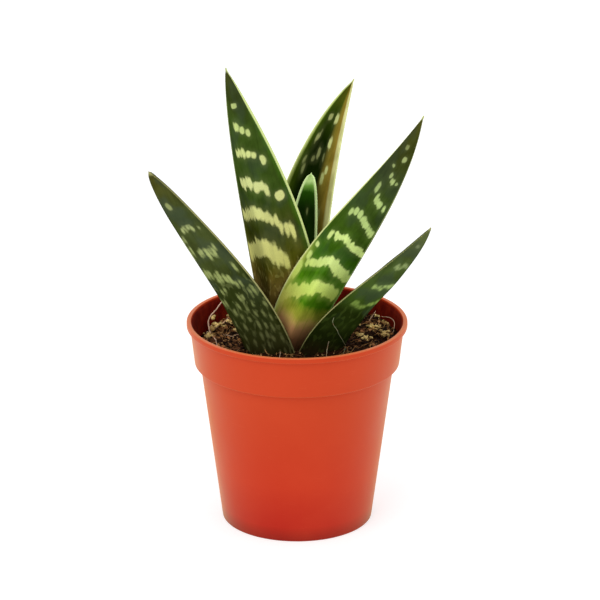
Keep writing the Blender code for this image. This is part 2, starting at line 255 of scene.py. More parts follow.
LEAVES = (
    Leaf(
        "leaf_left_outer", base=(-12.0, -5.0, 71.0), length=107.0, width=27.5, waist=0.0, fullness=0.56,
        faces=-58, turns=-4, leans=-53, lean_base=17.5, lean_out=38.5, curl=-3.5, fold=0.46, keel=0.58,
        ground=(
            (0.04, (50, 46, 21)), (0.13, (56, 60, 20)), (0.22, (42, 50, 13)), (0.38, (38, 47, 11)),
            (0.5, DUSK_GREEN), (0.8, (66, 76, 38)), (1.0, (76, 74, 28)),
        ),
        marks=(
            (0.1, (128, 132, 84)), (0.32, (146, 156, 96)), (0.46, (158, 170, 104)),
            (0.75, (164, 174, 116)), (0.9, DULL_CREAM),
        ),
        horn=HORN_TAN, horn_back=0.0, horn_upper=0.3, horn_sides=(0.85, 1.0), horn_fade=0.6,
        mirror_rows=True, flecks=(0.26, 0.34), slate=0.5, soften=1.1,
        back_rows=rows(
            (90.5, 2, (-0.42,), 3.4, 1.5, 0.95), (78.5, 2, (-0.32, -0.43, -0.54, -0.65), 3.4, 1.0),
            (78.5, 3, (-0.84,), 2.6, 0.8, 0.7), (72.5, 2, (-0.06, -0.17), 3.2, 0.9, 0.7),
            (65.5, 1, (-0.05, -0.16), 5.4, 0.9, 0.8), (64, 0, (-0.34, -0.42), 5.6, 0.85, 0.85),
            (62.5, 0, (-0.54, -0.63), 6.6, 0.95), (63, 0, (-0.72,), 6.4, 0.9),
            (65, 0, (-0.81,), 4.4, 0.8, 0.9), (52.5, 0, (-0.89,), 5.6, 1.0, 0.8),
            (52, 0, (-0.05, -0.14, -0.23), 5.6, 0.9, 0.85), (49.5, 0, (-0.33, -0.42), 6.2, 0.95, 0.95),
            (47.5, 0, (-0.51, -0.6), 6.2, 0.95), (44, 0, (-0.68, -0.76), 4.4, 0.85, 0.9),
            (41.5, 0, (-0.32, -0.23), 3.8, 0.9, 0.85), (37.5, 0, (-0.92, -0.84), 5.0, 0.9, 0.8),
            (36.5, 0, (-0.62, -0.53), 4.8, 0.9, 0.9), (35, 0, (-0.08, -0.16), 4.6, 0.85, 0.8),
            (32, 0, (-0.4, -0.72), 4.6, 0.85, 0.85), (29.5, 0, (-0.55, -0.25, -0.95), 4.2, 0.85, 0.8),
            (26.5, 0, (-0.81, -0.66, -0.35), 4.4, 0.85, 0.8),
            (23.5, 0, (-0.48, -0.12, -0.91), 4.2, 0.85, 0.75),
            (20.5, 0, (-0.73, -0.6, -0.3), 4.4, 0.85, 0.8), (17.5, 0, (-0.84, -0.42), 4.2, 0.85, 0.75),
            (15, 0, (-0.56, -0.2, -0.67), 4.4, 0.85, 0.75),
            (12, 0, (-0.92, -0.76, -0.36), 4.2, 0.85, 0.75), (9, 0, (-0.5, -0.62, -0.13), 4.2, 0.85, 0.7),
        ),
    ),
    Leaf(
        "leaf_right_outer", base=(10.5, -6.5, 72.5), length=91.0, width=24.5, waist=0.0, fullness=0.72,
        faces=53, turns=3, leans=44.5, lean_base=24, lean_out=51, curl=-14, fold=0.41, keel=0.53,
        ground=(
            (0.05, (50, 40, 20)), (0.16, (46, 58, 18)), (0.27, (40, 54, 14)), (0.36, (36, 48, 12)),
            (0.45, (54, 76, 22)), (0.6, (68, 88, 38)), (0.78, (68, 84, 40)), (1.0, (92, 100, 58)),
        ),
        marks=(
            (0.3, (112, 138, 60)), (0.48, (140, 168, 80)), (0.62, (168, 192, 116)), (0.9, (144, 154, 114)),
        ),
        horn=HORN_TAN, horn_back=-0.2, horn_upper=0.1, horn_sides=(0.85, 1.0), horn_fade=0.35,
        mirror_rows=True, flecks=(0.14, 0.3), slate=0.42, soften=1.7,
        back_rows=rows(
            (79.5, -3, (0.5, 0.62), 1.6, 0.9, 0.5), (69, 1, (0.18, 0.28, 0.38), 2.8, 1.0, 0.75),
            (66, -3, (0.46, 0.56, 0.66), 3.0, 1.0, 0.85), (56, 4, (0.08, 0.17, 0.26, 0.34), 2.8, 1.1, 0.9),
            (50, -5, (0.42, 0.51, 0.6, 0.68), 2.8, 1.1, 0.9),
            (45, 16, (0.1, 0.19, 0.28, 0.37), 3.4, 1.2, 0.85),
            (35, -7, (0.46, 0.55, 0.64, 0.73), 3.8, 1.2, 0.75),
            (26, 6, (0.15, 0.4, 0.6, 0.8), 3.0, 1.0, 0.25),
        ),
    ),
    Leaf(
        "leaf_back_outer", base=(1.0, 16.0, 71.5), length=62.0, width=24.0, waist=0.2, fullness=0.70,
        faces=178, turns=0, leans=178, lean_base=14, lean_out=40, curl=-8, fold=0.42, keel=0.50,
        ground=((0.05, DARK_BROWN), (0.2, SHADE_GREEN), (0.7, DUSK_GREEN), (1.0, TIP_OLIVE)),
        marks=((0.2, DULL_CREAM), (0.8, CREAM)), horn=HORN_TAN, horn_back=0.2, horn_upper=0.3,
        horn_sides=(0.85, 1.0), back_rows=(),
    ),
    Leaf(
        "leaf_front", base=(-5.5, -9.7, 74.5), length=124.5, width=23.8, waist=0.4, fullness=0.92,
        faces=-8, turns=-10, leans=64, lean_base=17, lean_out=38.5, curl=-15, fold=0.41, keel=0.42,
        ground=(
            (0.02, (98, 66, 42)), (0.07, (132, 92, 60)), (0.11, (186, 138, 92)), (0.135, (198, 170, 92)),
            (0.16, (178, 176, 66)), (0.19, (150, 164, 50)), (0.22, (84, 138, 20)), (0.27, (88, 144, 20)),
            (0.33, (72, 124, 14)), (0.4, (62, 106, 16)), (0.5, LEAF_GREEN), (0.62, DEEP_GREEN),
            (0.78, DUSK_GREEN), (0.92, (66, 70, 26)), (1.0, (78, 78, 26)),
        ),
        marks=(
            (0.18, (204, 206, 98)), (0.27, (210, 232, 114)), (0.4, (216, 236, 146)),
            (0.5, (208, 230, 140)), (0.56, (184, 208, 128)), (0.68, (168, 190, 118)),
            (0.8, (152, 166, 108)), (0.9, DULL_CREAM),
        ),
        horn=HORN, horn_back=0.6, horn_upper=0.6, horn_sides=(0.3, 1.0),
        back_rows=rows(
            (110, 0, (-0.02,), 2.0, 1.6, 0.7), (105, 2, (-0.45,), 2.8, 1.7, 0.9),
            (99.8, 0, (0.28,), 2.2, 1.6, 0.85), (96.6, 6, (-0.08, -0.34, -0.46), 2.8, 1.3, 0.95),
            (97, 6, (-0.76,), 2.0, 1.4, 0.75), (89.5, 5, (0.26,), 5.4, 1.7, 0.95),
            (85, 5, (-0.07, -0.22, -0.37, -0.5, -0.78), 3.6, 1.4),
            (75, 8, (-0.1, -0.23, -0.36, -0.49, -0.63, -0.77, -0.9), 3.6, 1.4),
            (75.6, 2, (0.14, 0.42), 3.4, 2.2), (71.5, 0, (0.61,), 3.8, 1.7),
            (62.5, 6.5, (-0.95, -0.83, -0.72, -0.6, -0.49, -0.38, -0.27, -0.16, -0.05), 3.4, 1.7),
            (62.6, 6, (0.06, 0.17, 0.28, 0.38, 0.48), 3.0, 1.6), (58, 0, (0.67,), 5.6, 1.9),
            (50.2, 0, (0.85,), 2.6, 1.8),
            (50.6, 8, (0.0, -0.12, -0.24, -0.36, -0.48, -0.6, -0.72, -0.84, -0.95), 5.4, 2.0),
            (50.4, 12, (0.13, 0.25, 0.37, 0.49, 0.61, 0.73), 4.6, 1.9), (43.6, 0, (0.86,), 3.8, 1.8),
            (35, 0, (0.92,), 8.0, 2.2, 0.9),
            (38.4, 5, (-0.18, -0.32, -0.46, -0.6, -0.74, -0.88), 6.2, 2.4),
            (36.6, 15, (-0.04, 0.1, 0.24, 0.38, 0.52, 0.66, 0.8, 0.92), 7.2, 2.4),
        ),
        edge_tint=(
            (0.72, YELLOW_GREEN, 0.0), (0.93, (192, 204, 90), 0.7), (1.0, (214, 222, 120), 0.95),
        ),
        tint_face=0.0, tint_end=0.44, slate=0.3, soften=1.1, glow=0.2, lit=(1.28, 1.0),
    ),
    Leaf(
        "leaf_left_inner", base=(-5.0, -1.0, 77.5), length=131.0, width=31.0, waist=0.3, fullness=0.88,
        faces=-23, turns=-2, leans=-33.5, lean_base=6, lean_out=23.5, curl=-4, fold=0.49, keel=0.49,
        ground=(
            (0.07, (58, 44, 20)), (0.14, (98, 78, 36)), (0.2, (116, 98, 46)), (0.25, (104, 92, 32)),
            (0.3, (84, 84, 20)), (0.36, (66, 72, 18)), (0.43, (58, 68, 18)), (0.55, DEEP_GREEN),
            (0.8, DEEP_GREEN), (0.93, DUSK_GREEN), (1.0, TIP_OLIVE),
        ),
        marks=(
            (0.18, (160, 140, 84)), (0.27, STRAW), (0.42, (216, 216, 136)), (0.6, CREAM),
            (0.72, (204, 214, 138)), (0.8, (190, 206, 128)), (0.9, (182, 198, 126)),
        ),
        horn=(206, 220, 144), horn_back=0.7, horn_upper=0.1, horn_sides=(1.0, 0.3), horn_full=5.0,
        back_rows=rows(
            (115.2, 2, (-0.12,), 2.9, 2.2, 0.85), (105.6, 7, (-0.5,), 3.0, 1.6),
            (105.6, 6, (-0.25,), 3.2, 1.6), (106, 6, (-0.03, 0.12), 3.6, 1.5),
            (106, 6, (0.26,), 3.0, 1.6, 0.6), (93.5, 9, (-0.68,), 4.2, 1.8),
            (93.6, 8, (-0.43, -0.27), 4.2, 1.6), (93.6, 5, (-0.08, 0.06, 0.2, 0.34, 0.48), 3.8, 1.4),
            (79, 13.5, (-0.76,), 5.0, 3.0), (79.2, 11, (-0.49,), 7.6, 1.3),
            (79.6, 10, (-0.37, -0.23), 5.6, 2.2), (80, 8, (-0.05, 0.06, 0.18, 0.31, 0.45, 0.56), 5.4, 1.7),
            (64, 17, (-0.78, -0.67), 8.0, 1.4), (63.4, 17, (-0.56,), 7.0, 1.1),
            (66.5, 17, (-0.49, -0.4), 6.4, 1.3), (66, 16, (-0.3, -0.2), 6.2, 1.5),
            (66, 12, (-0.11, -0.01, 0.09, 0.2, 0.32, 0.46, 0.6, 0.74, 0.88), 6.2, 1.8),
            (51, 26, (-0.49, -0.4), 9.0, 1.7), (51, 28, (-0.31,), 11.5, 1.8),
            (50, 26, (-0.22, -0.14), 11.0, 1.8), (48, 16, (-0.05, 0.04), 8.6, 1.9),
            (49.4, 14, (0.14, 0.25, 0.37), 8.8, 2.3, 1.25),
            (49.4, 14, (0.5, 0.64, 0.78, 0.9), 8.8, 2.2, 1.1),
        ),
        edge_tint=((-1.0, (74, 122, 28), 0.55), (-0.86, (70, 114, 26), 0.0)), tint_face=0.0, tint_end=0.9,
        flecks=(0.3, 0.17), slate=0.35, lit=(1.0, 1.08),
    ),
    Leaf(
        "leaf_back_inner", base=(-0.8, 10.5, 77.0), length=107.5, width=28.5, waist=0.3, fullness=0.88,
        faces=164, turns=-5, leans=131, lean_base=-5.5, lean_out=18, curl=21, fold=0.44, keel=0.42,
        ground=(
            (0.1, DRY_BROWN), (0.3, BRIGHT_GREEN), (0.45, NIGHT_GREEN), (0.74, NIGHT_GREEN),
            (0.87, (52, 70, 14)), (1.0, (104, 104, 26)),
        ),
        marks=((0.4, SOFT_GREEN), (0.56, (176, 190, 120)), (0.66, (198, 204, 134))), horn=HORN,
        horn_back=0.6, horn_upper=0.45, horn_sides=(1.0, 1.0), horn_fade=0.7, back_rows=(),
        upper_rows=rows(
            (89.3, 0, (-0.42,), 2.8, 1.7, 0.62), (90.3, 0, (0.14, 0.24), 3.8, 1.1, 0.95),
            (81, 0, (-0.54, -0.6), 4.2, 0.9, 0.55), (79.6, 0, (0.24,), 5.4, 1.2),
            (80.6, 0, (0.31,), 4.0, 1.0), (74.5, 0, (-0.2,), 4.2, 1.3, 0.42),
            (72.5, 0, (-0.36,), 2.4, 1.2, 0.3), (73, 0, (0.13,), 3.4, 0.8, 0.3),
            (68.6, 0, (0.47,), 3.0, 1.6), (65, 0, (0.32, 0.39), 5.6, 1.0, 0.75),
            (70, 0, (-0.72,), 4.0, 0.9, 0.4), (66.4, 0, (-0.62,), 5.0, 1.2, 0.42),
            (52, 4, (-0.7, -0.4, -0.1, 0.2, 0.5), 5.0, 1.4, 0.4),
            (38, 4, (-0.6, -0.3, 0.0, 0.3, 0.6), 5.0, 1.6, 0.6),
        ),
        edge_tint=(
            (-1.0, (206, 218, 142), 0.95), (-0.94, (176, 194, 104), 0.8), (-0.87, (70, 92, 14), 0.7),
            (-0.5, (40, 62, 8), 0.0), (0.14, GOLDEN, 0.0), (0.42, GOLDEN, 0.72),
            (0.76, (150, 126, 50), 0.9), (0.84, (212, 206, 138), 0.95), (1.0, (220, 218, 152), 1.0),
        ),
        slate=0.0,
    ),
    Leaf(
        "leaf_heart", base=(0.0, 1.5, 80.0), length=65.0, width=14.8, waist=0.0, fullness=0.46, faces=165,
        turns=0, leans=147, lean_base=1.5, lean_out=10.5, curl=4, fold=0.36, keel=0.36,
        ground=(
            (0.2, BRIGHT_GREEN), (0.5, (30, 58, 8)), (0.78, (24, 46, 8)), (0.88, (40, 80, 12)),
            (0.92, (120, 170, 70)), (0.95, (206, 236, 156)),
        ),
        marks=((0.3, PALE_GREEN), (0.8, DULL_CREAM)), horn=HORN_GREEN, horn_back=0.8, horn_upper=1.05,
        horn_sides=(1.0, 0.78), horn_full=2.0, slate=0.0, back_rows=(),
        upper_rows=rows((49.5, 0, (0.06,), 2.6, 1.2, 0.6)),
    ),
)


def linear(colour):
    """A colour given as three numbers from 0 to 255, as a shader's four linear ones. Others stay as given."""
    if not isinstance(colour, tuple) or len(colour) != 3:
        return colour
    shares = [value / 255 for value in colour]
    return (*(s / 12.92 if s <= 0.04045 else ((s + 0.055) / 1.055) ** 2.4 for s in shares), 1.0)


def new_piece(name, mesh):
    piece = bpy.data.objects.new(name, mesh)
    bpy.context.scene.collection.objects.link(piece)
    return piece


def new_mesh(name, vertices, edges=(), faces=()):
    mesh = bpy.data.meshes.new(name)
    mesh.from_pydata(vertices, edges, faces)
    return mesh


def add_values(mesh, name, values, kind="FLOAT", field="value"):
    """Stores a value for each point of a mesh."""
    data = np.asarray(values, dtype=np.float32).ravel()
    mesh.attributes.new(name, kind, "POINT").data.foreach_set(field, data)


def seat(piece, slot, *nodes):
    """Puts a finished piece under its body and hides the CAD nodes that it stands for. The slot is not used.
    """
    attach(piece, BODY)
    if nodes:
        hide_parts(*nodes)


def baked(thing):
    """A plain mesh of what an object's modifiers make of it."""
    depsgraph = bpy.context.evaluated_depsgraph_get()
    mesh = bpy.data.meshes.new_from_object(thing.evaluated_get(depsgraph))
    mesh.name = thing.name
    return mesh


def discard(thing):
    mesh = thing.data
    bpy.data.objects.remove(thing, do_unlink=True)
    bpy.data.meshes.remove(mesh)


class Value:
    """A node's output, which formulas can add, subtract and multiply."""

    def __init__(self, nodes, socket):
        self.nodes = nodes
        self.socket = socket

    def __add__(self, other):
        return self.nodes.math("ADD", self, other)

    def __sub__(self, other):
        return self.nodes.math("SUBTRACT", self, other)

    def __mul__(self, other):
        return self.nodes.math("MULTIPLY", self, other)


class Nodes:
    """Adds nodes to a tree and joins them, for materials and Geometry Nodes alike."""

    def __init__(self, tree):
        self.tree = tree

    def feed(self, socket, value):
        if isinstance(value, Value):
            self.tree.links.new(value.socket, socket)
        else:
            socket.default_value = value

    def add(self, kind, inputs=None, output=0, **settings):
        """An output of a new node. Its inputs are given by name or place, as constants or as outputs."""
        node = self.tree.nodes.new(kind)
        for key, value in settings.items():
            setattr(node, key, value)
        for key, value in (inputs or {}).items():
            self.feed(node.inputs[key], value)
        return Value(self, node.outputs[output]) if node.outputs else None

    def math(self, operation, first, second=0.0, clamp=False):
        return self.add("ShaderNodeMath", {0: first, 1: second}, operation=operation, use_clamp=clamp)

    def vector(self, operation, first, second=(0.0, 0.0, 0.0), output=0):
        """Vector maths, whose second value is a number where it scales."""
        other = "Scale" if operation == "SCALE" else 1
        return self.add("ShaderNodeVectorMath", {0: first, other: second}, output, operation=operation)

    def axis(self, vector, name):
        return self.add("ShaderNodeSeparateXYZ", {0: vector}, name)

    def draw(self, low, high, seed):
        """A number drawn for each point, or three of them where the limits are vectors."""
        if isinstance(low, tuple):
            inputs = {0: low, 1: high, "Seed": seed}
            return self.add("FunctionNodeRandomValue", inputs, data_type="FLOAT_VECTOR")
        return self.add("FunctionNodeRandomValue", {2: low, 3: high, "Seed": seed}, 1)

    def shaken(self, geometry, scale, amount):
        """Moves the points by a noise, by half the amount at most."""
        bends = self.add("ShaderNodeTexNoise", {"Scale": scale, "Detail": 2.0}, "Color")
        offset = self.vector("SCALE", self.vector("SUBTRACT", bends, (0.5, 0.5, 0.5)), amount)
        return self.add("GeometryNodeSetPosition", {"Geometry": geometry, "Offset": offset})

    def even_curve(self, mesh, step):
        """The curves along a mesh's edges, with a point at every step."""
        curve = self.add("GeometryNodeMeshToCurve", {"Mesh": mesh})
        return self.add("GeometryNodeResampleCurve", {"Curve": curve, "Length": step}, mode="LENGTH")


class Paint(Nodes):
    """The nodes of one material, round its Principled shader. A colour is an output, three numbers from 0 to
    255 or four linear ones."""

    def __init__(self, name, roughness, specular):
        self.material = bpy.data.materials.new(name)
        self.material.use_nodes = True
        super().__init__(self.material.node_tree)
        self.place = self.add("ShaderNodeTexCoord", output="Object")
        self.coat(Roughness=roughness, Specular_IOR_Level=specular)

    def attribute(self, name, output="Fac"):
        return self.add("ShaderNodeAttribute", output=output, attribute_name=name)

    def noise(self, scale, detail, roughness, place=None):
        """Noise of one scale, or of one for each axis."""
        place = place or self.place
        if isinstance(scale, tuple):
            place = self.add("ShaderNodeMapping", {"Vector": place, "Scale": scale})
            scale = 1.0
        inputs = {"Vector": place, "Scale": scale, "Detail": detail, "Roughness": roughness}
        return self.add("ShaderNodeTexNoise", inputs, "Fac")

    def span(self, value, low, high, to_low=0.0, to_high=1.0):
        """A smooth step of a value from one range to another."""
        inputs = {"Value": value, "From Min": low, "From Max": high, "To Min": to_low, "To Max": to_high}
        return self.add("ShaderNodeMapRange", inputs, "Result", interpolation_type="SMOOTHSTEP")

    def ramp(self, value, stops, output="Color"):
        """A colour ramp. A stop is a place, a colour and, for the output Alpha, a strength."""
        ramp = self.add("ShaderNodeValToRGB", {"Fac": value}, output)
        elements = ramp.socket.node.color_ramp.elements
        elements.remove(elements[-1])
        for index, (place, colour, *strength) in enumerate(stops):
            element = elements.new(place) if index else elements[0]
            element.position = place
            element.color = (*linear(colour)[:3], *(strength or [1.0]))
        return ramp

    def mix(self, share, first, second, blend="MIX"):
        inputs = {"Factor": share, 6: linear(first), 7: linear(second)}
        return self.add("ShaderNodeMix", inputs, 2, data_type="RGBA", blend_type=blend)

    def bump(self, height, strength, distance, under=None):
        inputs = {"Height": height, "Strength": strength, "Distance": distance}
        if under:
            inputs["Normal"] = under
        return self.add("ShaderNodeBump", inputs)

    def coat(self, **inputs):
        """Puts values or outputs into the shader's sockets, spaces in names given as underscores."""
        shader = self.tree.nodes["Principled BSDF"]
        for name, value in inputs.items():
            self.feed(shader.inputs[name.replace("_", " ")], linear(value))
        return self.material


SOCKET_KINDS = {bool: "Bool", int: "Int", float: "Float", type(None): "Material"}


def new_tree(name, inputs):
    """The nodes and the inputs of a new Geometry Nodes tree. Inputs are given with their defaults."""
    tree = bpy.data.node_groups.new(name, "GeometryNodeTree")
    tree.interface.new_socket("Geometry", in_out="INPUT", socket_type="NodeSocketGeometry")
    for label, default in inputs.items():
        kind = "NodeSocket" + SOCKET_KINDS[type(default)]
        socket = tree.interface.new_socket(label, in_out="INPUT", socket_type=kind)
        if default is not None:
            socket.default_value = default
    tree.interface.new_socket("Geometry", in_out="OUTPUT", socket_type="NodeSocketGeometry")
    nodes = Nodes(tree)
    group = nodes.add("NodeGroupInput").socket.node
    return nodes, {socket.name: Value(nodes, socket) for socket in group.outputs}


def close_tree(nodes, given, geometry, smooth):
    """Ends a tree with real, painted faces."""
    real = nodes.add("GeometryNodeRealizeInstances", {"Geometry": geometry})
    shaded = nodes.add("GeometryNodeSetShadeSmooth", {"Geometry": real, "Shade Smooth": smooth})
    painted = nodes.add("GeometryNodeSetMaterial", {"Geometry": shaded, "Material": given["Material"]})
    nodes.add("NodeGroupOutput", {0: painted})
    return nodes.tree


def run_tree(name, guide, tree, values):
    """A piece made by a Geometry Nodes tree from an object that carries it, with inputs given by name."""
    modifier = guide.modifiers.new(tree.name, "NODES")
    modifier.node_group = tree
    for item in tree.interface.items_tree:
        if item.in_out == "INPUT" and item.name in values:
            modifier[item.identifier] = values[item.name]
    guide.update_tag()
    mesh = baked(guide)
    guide.modifiers.clear()
    return new_piece(name, mesh)


def run_on_mesh(name, mesh, tree, values):
    """The same from a bare mesh, which goes away afterwards."""
    guide = new_piece(name + "_guide", mesh)
    piece = run_tree(name, guide, tree, values)
    discard(guide)
    return piece


def colour_setting(name, about, colour):
    return bpy.props.FloatVectorProperty(
        name=name, description=about, default=linear(colour)[:3], min=0.0, max=1.0, size=3, subtype="COLOR",
    )


def number_setting(name, about, default, low, high, **kind):
    return bpy.props.FloatProperty(name=name, description=about, default=default, min=low, max=high, **kind)


def length_setting(name, about, default, low, high):
    """A length given in millimetres and kept in metres."""
    metric = {"subtype": "DISTANCE", "unit": "LENGTH"}
    return number_setting(name, about, default * MM, low * MM, high * MM, **metric)


def share_setting(name, about, default, low=0.0):
    return number_setting(name, about, default, low, 1.0, subtype="FACTOR")


def power_setting(name, about, default):
    return number_setting(name, about, default, 0.0, 500.0, subtype="POWER", unit="POWER")


def count_setting(name, about, default, low, high):
    return bpy.props.IntProperty(name=name, description=about, default=default, min=low, max=high)


def turned_mesh(name, profile, segments):
    """A closed turned mesh from a profile of (radius, height) that starts and ends on the axis."""
    vertices = [(0.0, 0.0, profile[0][1])]
    for radius, height in profile[1:-1]:
        for index in range(segments):
            angle = math.tau * index / segments
            vertices.append((radius * math.cos(angle), radius * math.sin(angle), height))
    vertices.append((0.0, 0.0, profile[-1][1]))
    last = len(vertices) - 1
    foot = last - segments
    faces = []
    for index in range(segments):
        beside = (index + 1) % segments
        faces.append((0, 1 + index, 1 + beside))
        for here in range(1, foot, segments):
            faces.append((here + index, here + segments + index, here + segments + beside, here + beside))
        faces.append((foot + index, last, foot + beside))
    mesh = new_mesh(name, vertices, faces=faces)
    mesh.shade_smooth()
    return mesh


def filleted(points, radius, steps=4):
    """A profile whose inner corners are rounded by arcs, a corner losing at most 45% of its shorter side."""
    rounded = [points[0]]
    for before, corner, after in zip(points, points[1:], points[2:]):
        corner = Vector(corner)
        start = Vector(before) - corner
        end = Vector(after) - corner
        reach = min(radius, FILLET_SHARE * start.length, FILLET_SHARE * end.length)
        start = corner + start.normalized() * reach
        end = corner + end.normalized() * reach
        for index in range(steps + 1):
            share = index / steps
            bend = start.lerp(corner, share).lerp(corner.lerp(end, share), share)
            rounded.append((bend.x, bend.y))
    return rounded + [points[-1]]


def pot_wall_radius(height):
    """Inner radius of the pot at a height above its foot."""
    if height > STEP_HEIGHT + WALL:
        share = (height - STEP_HEIGHT) / (BAND_HEIGHT - LIP_HEIGHT)
        return BAND_FOOT_RADIUS + (BAND_TOP_RADIUS - BAND_FOOT_RADIUS) * share - WALL
    return FOOT_RADIUS + (BODY_TOP_RADIUS - FOOT_RADIUS) * height / STEP_HEIGHT - WALL


def pot_profile():
    """Corner points from the middle of the floor up the inside, over the lip and down to the foot pad."""
    recess_radius = FOOT_RADIUS - FOOT_ROUND - FOOT_RING_WIDTH
    lip_foot = POT_HEIGHT - LIP_HEIGHT
    return [
        (0.0, FLOOR_TOP), (pot_wall_radius(FLOOR_TOP), FLOOR_TOP), (BODY_TOP_RADIUS - WALL, STEP_HEIGHT),
        (BAND_FOOT_RADIUS - WALL, STEP_HEIGHT + WALL), (BAND_TOP_RADIUS - WALL, lip_foot),
        (LIP_RADIUS - LIP_WIDTH, POT_HEIGHT), (LIP_RADIUS, POT_HEIGHT), (LIP_RADIUS, lip_foot),
        (BAND_TOP_RADIUS, lip_foot), (BAND_FOOT_RADIUS, STEP_HEIGHT),
        (BODY_TOP_RADIUS, STEP_HEIGHT - STEP_EDGE), (FOOT_RADIUS, 0.0),
        (recess_radius, 0.0), (recess_radius - RECESS_EDGE, FOOT_RECESS),
        (PAD_RADIUS + RECESS_EDGE, FOOT_RECESS), (PAD_RADIUS, 0.0), (0.0, 0.0),
    ]


def plastic_paint(looks):
    """Moulded terracotta plastic: painted shade that makes the foot darker and redder, faint flow marks and
    scuffs, and a painted highlight along the top of the lip.
    """
    paint = Paint("pot_plastic", looks.roughness, 0.12)
    height = paint.axis(paint.place, "Z")
    # Painted shade: the plastic is painted darker and redder towards the foot
    tone = paint.ramp(paint.span(height, -0.01, POT_HEIGHT), (
        (0.03, (132, 9, 3)), (0.08, (172, 25, 8)), (0.3, (186, 45, 16)), (0.85, (*looks.colour, 1.0)),
    ))
    cloud = paint.noise(28.0, 4.0, 0.55)
    tone = paint.mix(paint.span(cloud, 0.35, 0.75, 0.0, 0.2), tone, (204, 70, 36))
    flow = paint.noise((160.0, 160.0, 1400.0), 3.0, 0.6)
    tone = paint.mix(paint.span(flow, 0.62, 0.8, 0.0, 0.1), tone, (222, 110, 70))
    scuff = paint.noise((900.0, 900.0, 110.0), 5.0, 0.7)
    worn = paint.span(scuff, 0.7, 0.8, 0.0, looks.scuffs)
    tone = paint.mix(worn, tone, (226, 132, 92))
    # Painted highlight: a pale line along the top of the lip
    lip = paint.span(height, POT_HEIGHT - 0.4 * MM, POT_HEIGHT - 0.05 * MM, 0.0, 0.5)
    tone = paint.mix(lip, tone, (230, 130, 84))
    normal = paint.bump(paint.noise(60.0, 2.0, 0.5), 0.12, 0.6 * MM)
    normal = paint.bump(paint.noise(1900.0, 2.0, 0.5), 0.1, 0.05 * MM, normal)
    return paint.coat(
        Base_Color=tone, Normal=paint.bump(scuff, 0.06, 0.08 * MM, normal),
        Roughness=paint.span(cloud, 0.3, 0.7, looks.roughness - 0.05, looks.roughness + 0.07) + worn * 0.4,
        Sheen_Weight=0.3, Sheen_Roughness=0.42, Sheen_Tint=(250, 228, 132),
    )


def shaded_stained_paint(looks):
    """The same plastic inside, with painted shade that makes the wall dark red-brown, darker crust specks near
    the soil's level, and the outer colour again just under the lip.
    """
    paint = Paint("pot_inside", 0.7, 0.03)
    height = paint.axis(paint.place, "Z")
    dirt_and_shade = paint.noise((260.0, 260.0, 150.0), 4.0, 0.6)
    crust = paint.noise(700.0, 3.0, 0.6)
    # Painted shade: the inner wall is painted dark red-brown, blotched by a noise
    tone = paint.mix(paint.span(dirt_and_shade, 0.35, 0.7), (106, 18, 7), (134, 34, 14))
    low = paint.span(height, SOIL_LEVEL + 6 * MM, SOIL_LEVEL + 1 * MM, 0.1, 0.7)
    tone = paint.mix(paint.span(crust, 0.55, 0.68) * low, tone, (66, 34, 18))
    # Just under the lip the painted shade and the crust give way to the outer colour
    clear_of_shade_and_crust = paint.span(height, POT_HEIGHT - 1.0 * MM, POT_HEIGHT - 0.3 * MM, 0.0, 0.9)
    tone = paint.mix(clear_of_shade_and_crust, tone, (*looks.colour, 1.0))
    normal = paint.bump(crust, 0.2, 0.1 * MM, paint.bump(dirt_and_shade, 0.15, 0.4 * MM))
    return paint.coat(Base_Color=tone, Normal=normal)


def split_finishes(mesh):
    """Gives the pot's inner faces the second material and leaves the first on its outer ones."""
    for face in mesh.polygons:
        radius = math.hypot(face.center.x, face.center.y)
        over_floor = face.center.z > FLOOR_TOP / 2
        face.material_index = int(over_floor and radius < pot_wall_radius(face.center.z) + WALL / 2)


def drill_drains(pot):
    """Cuts the drain holes through the floor and bakes the result."""
    drills = []
    top = 3 * FLOOR_TOP
    profile = [(0.0, top), (DRAIN_RADIUS, top), (DRAIN_RADIUS, -FLOOR_TOP), (0.0, -FLOOR_TOP)]
    for index in range(DRAIN_HOLES):
        angle = math.tau * index / DRAIN_HOLES + DRAIN_TURN
        drill = new_piece("drain_drill", turned_mesh("drain_drill", profile, DRAIN_SEGMENTS))
        drill.location = (DRAIN_CIRCLE * math.cos(angle), DRAIN_CIRCLE * math.sin(angle), 0.0)
        cut = pot.modifiers.new("drain", "BOOLEAN")
        cut.operation = "DIFFERENCE"
        cut.solver = "EXACT"
        cut.object = drill
        drills.append(drill)
    pot.data = baked(pot)
    pot.modifiers.clear()
    for drill in drills:
        discard(drill)


class PotLooks(bpy.types.PropertyGroup):
    colour: colour_setting("Plastic", "Colour of the pot's plastic", (188, 57, 21))
    roughness: share_setting("Roughness", "How dull the plastic is", 0.42, 0.1)
    scuffs: share_setting("Scuffs", "How plain the scuffs are", 0.35)
    segments: count_setting("Segments", "Facets round the pot", 192, 64, 512)


class ALOE_OT_pot(bpy.types.Operator):
    """Turn the nursery pot with its lip, rim band, foot ring and drain holes"""

    bl_idname = "aloe.pot"
    bl_label = "Pot"

    def execute(self, context):
        looks = context.scene.aloe_pot
        profile = filleted(pot_profile(), CORNER_RADIUS)
        pot = new_piece("pot_shell", turned_mesh("pot_shell", profile, looks.segments))
        drill_drains(pot)
        pot.data.materials.clear()
        pot.data.materials.append(plastic_paint(looks))
        pot.data.materials.append(shaded_stained_paint(looks))
        split_finishes(pot.data)
        pot.data.shade_smooth()
        pot.data.set_sharp_from_angle(angle=SHARP_ANGLE)
        seat(pot, "pot_plastic", "pot")
        return {"FINISHED"}


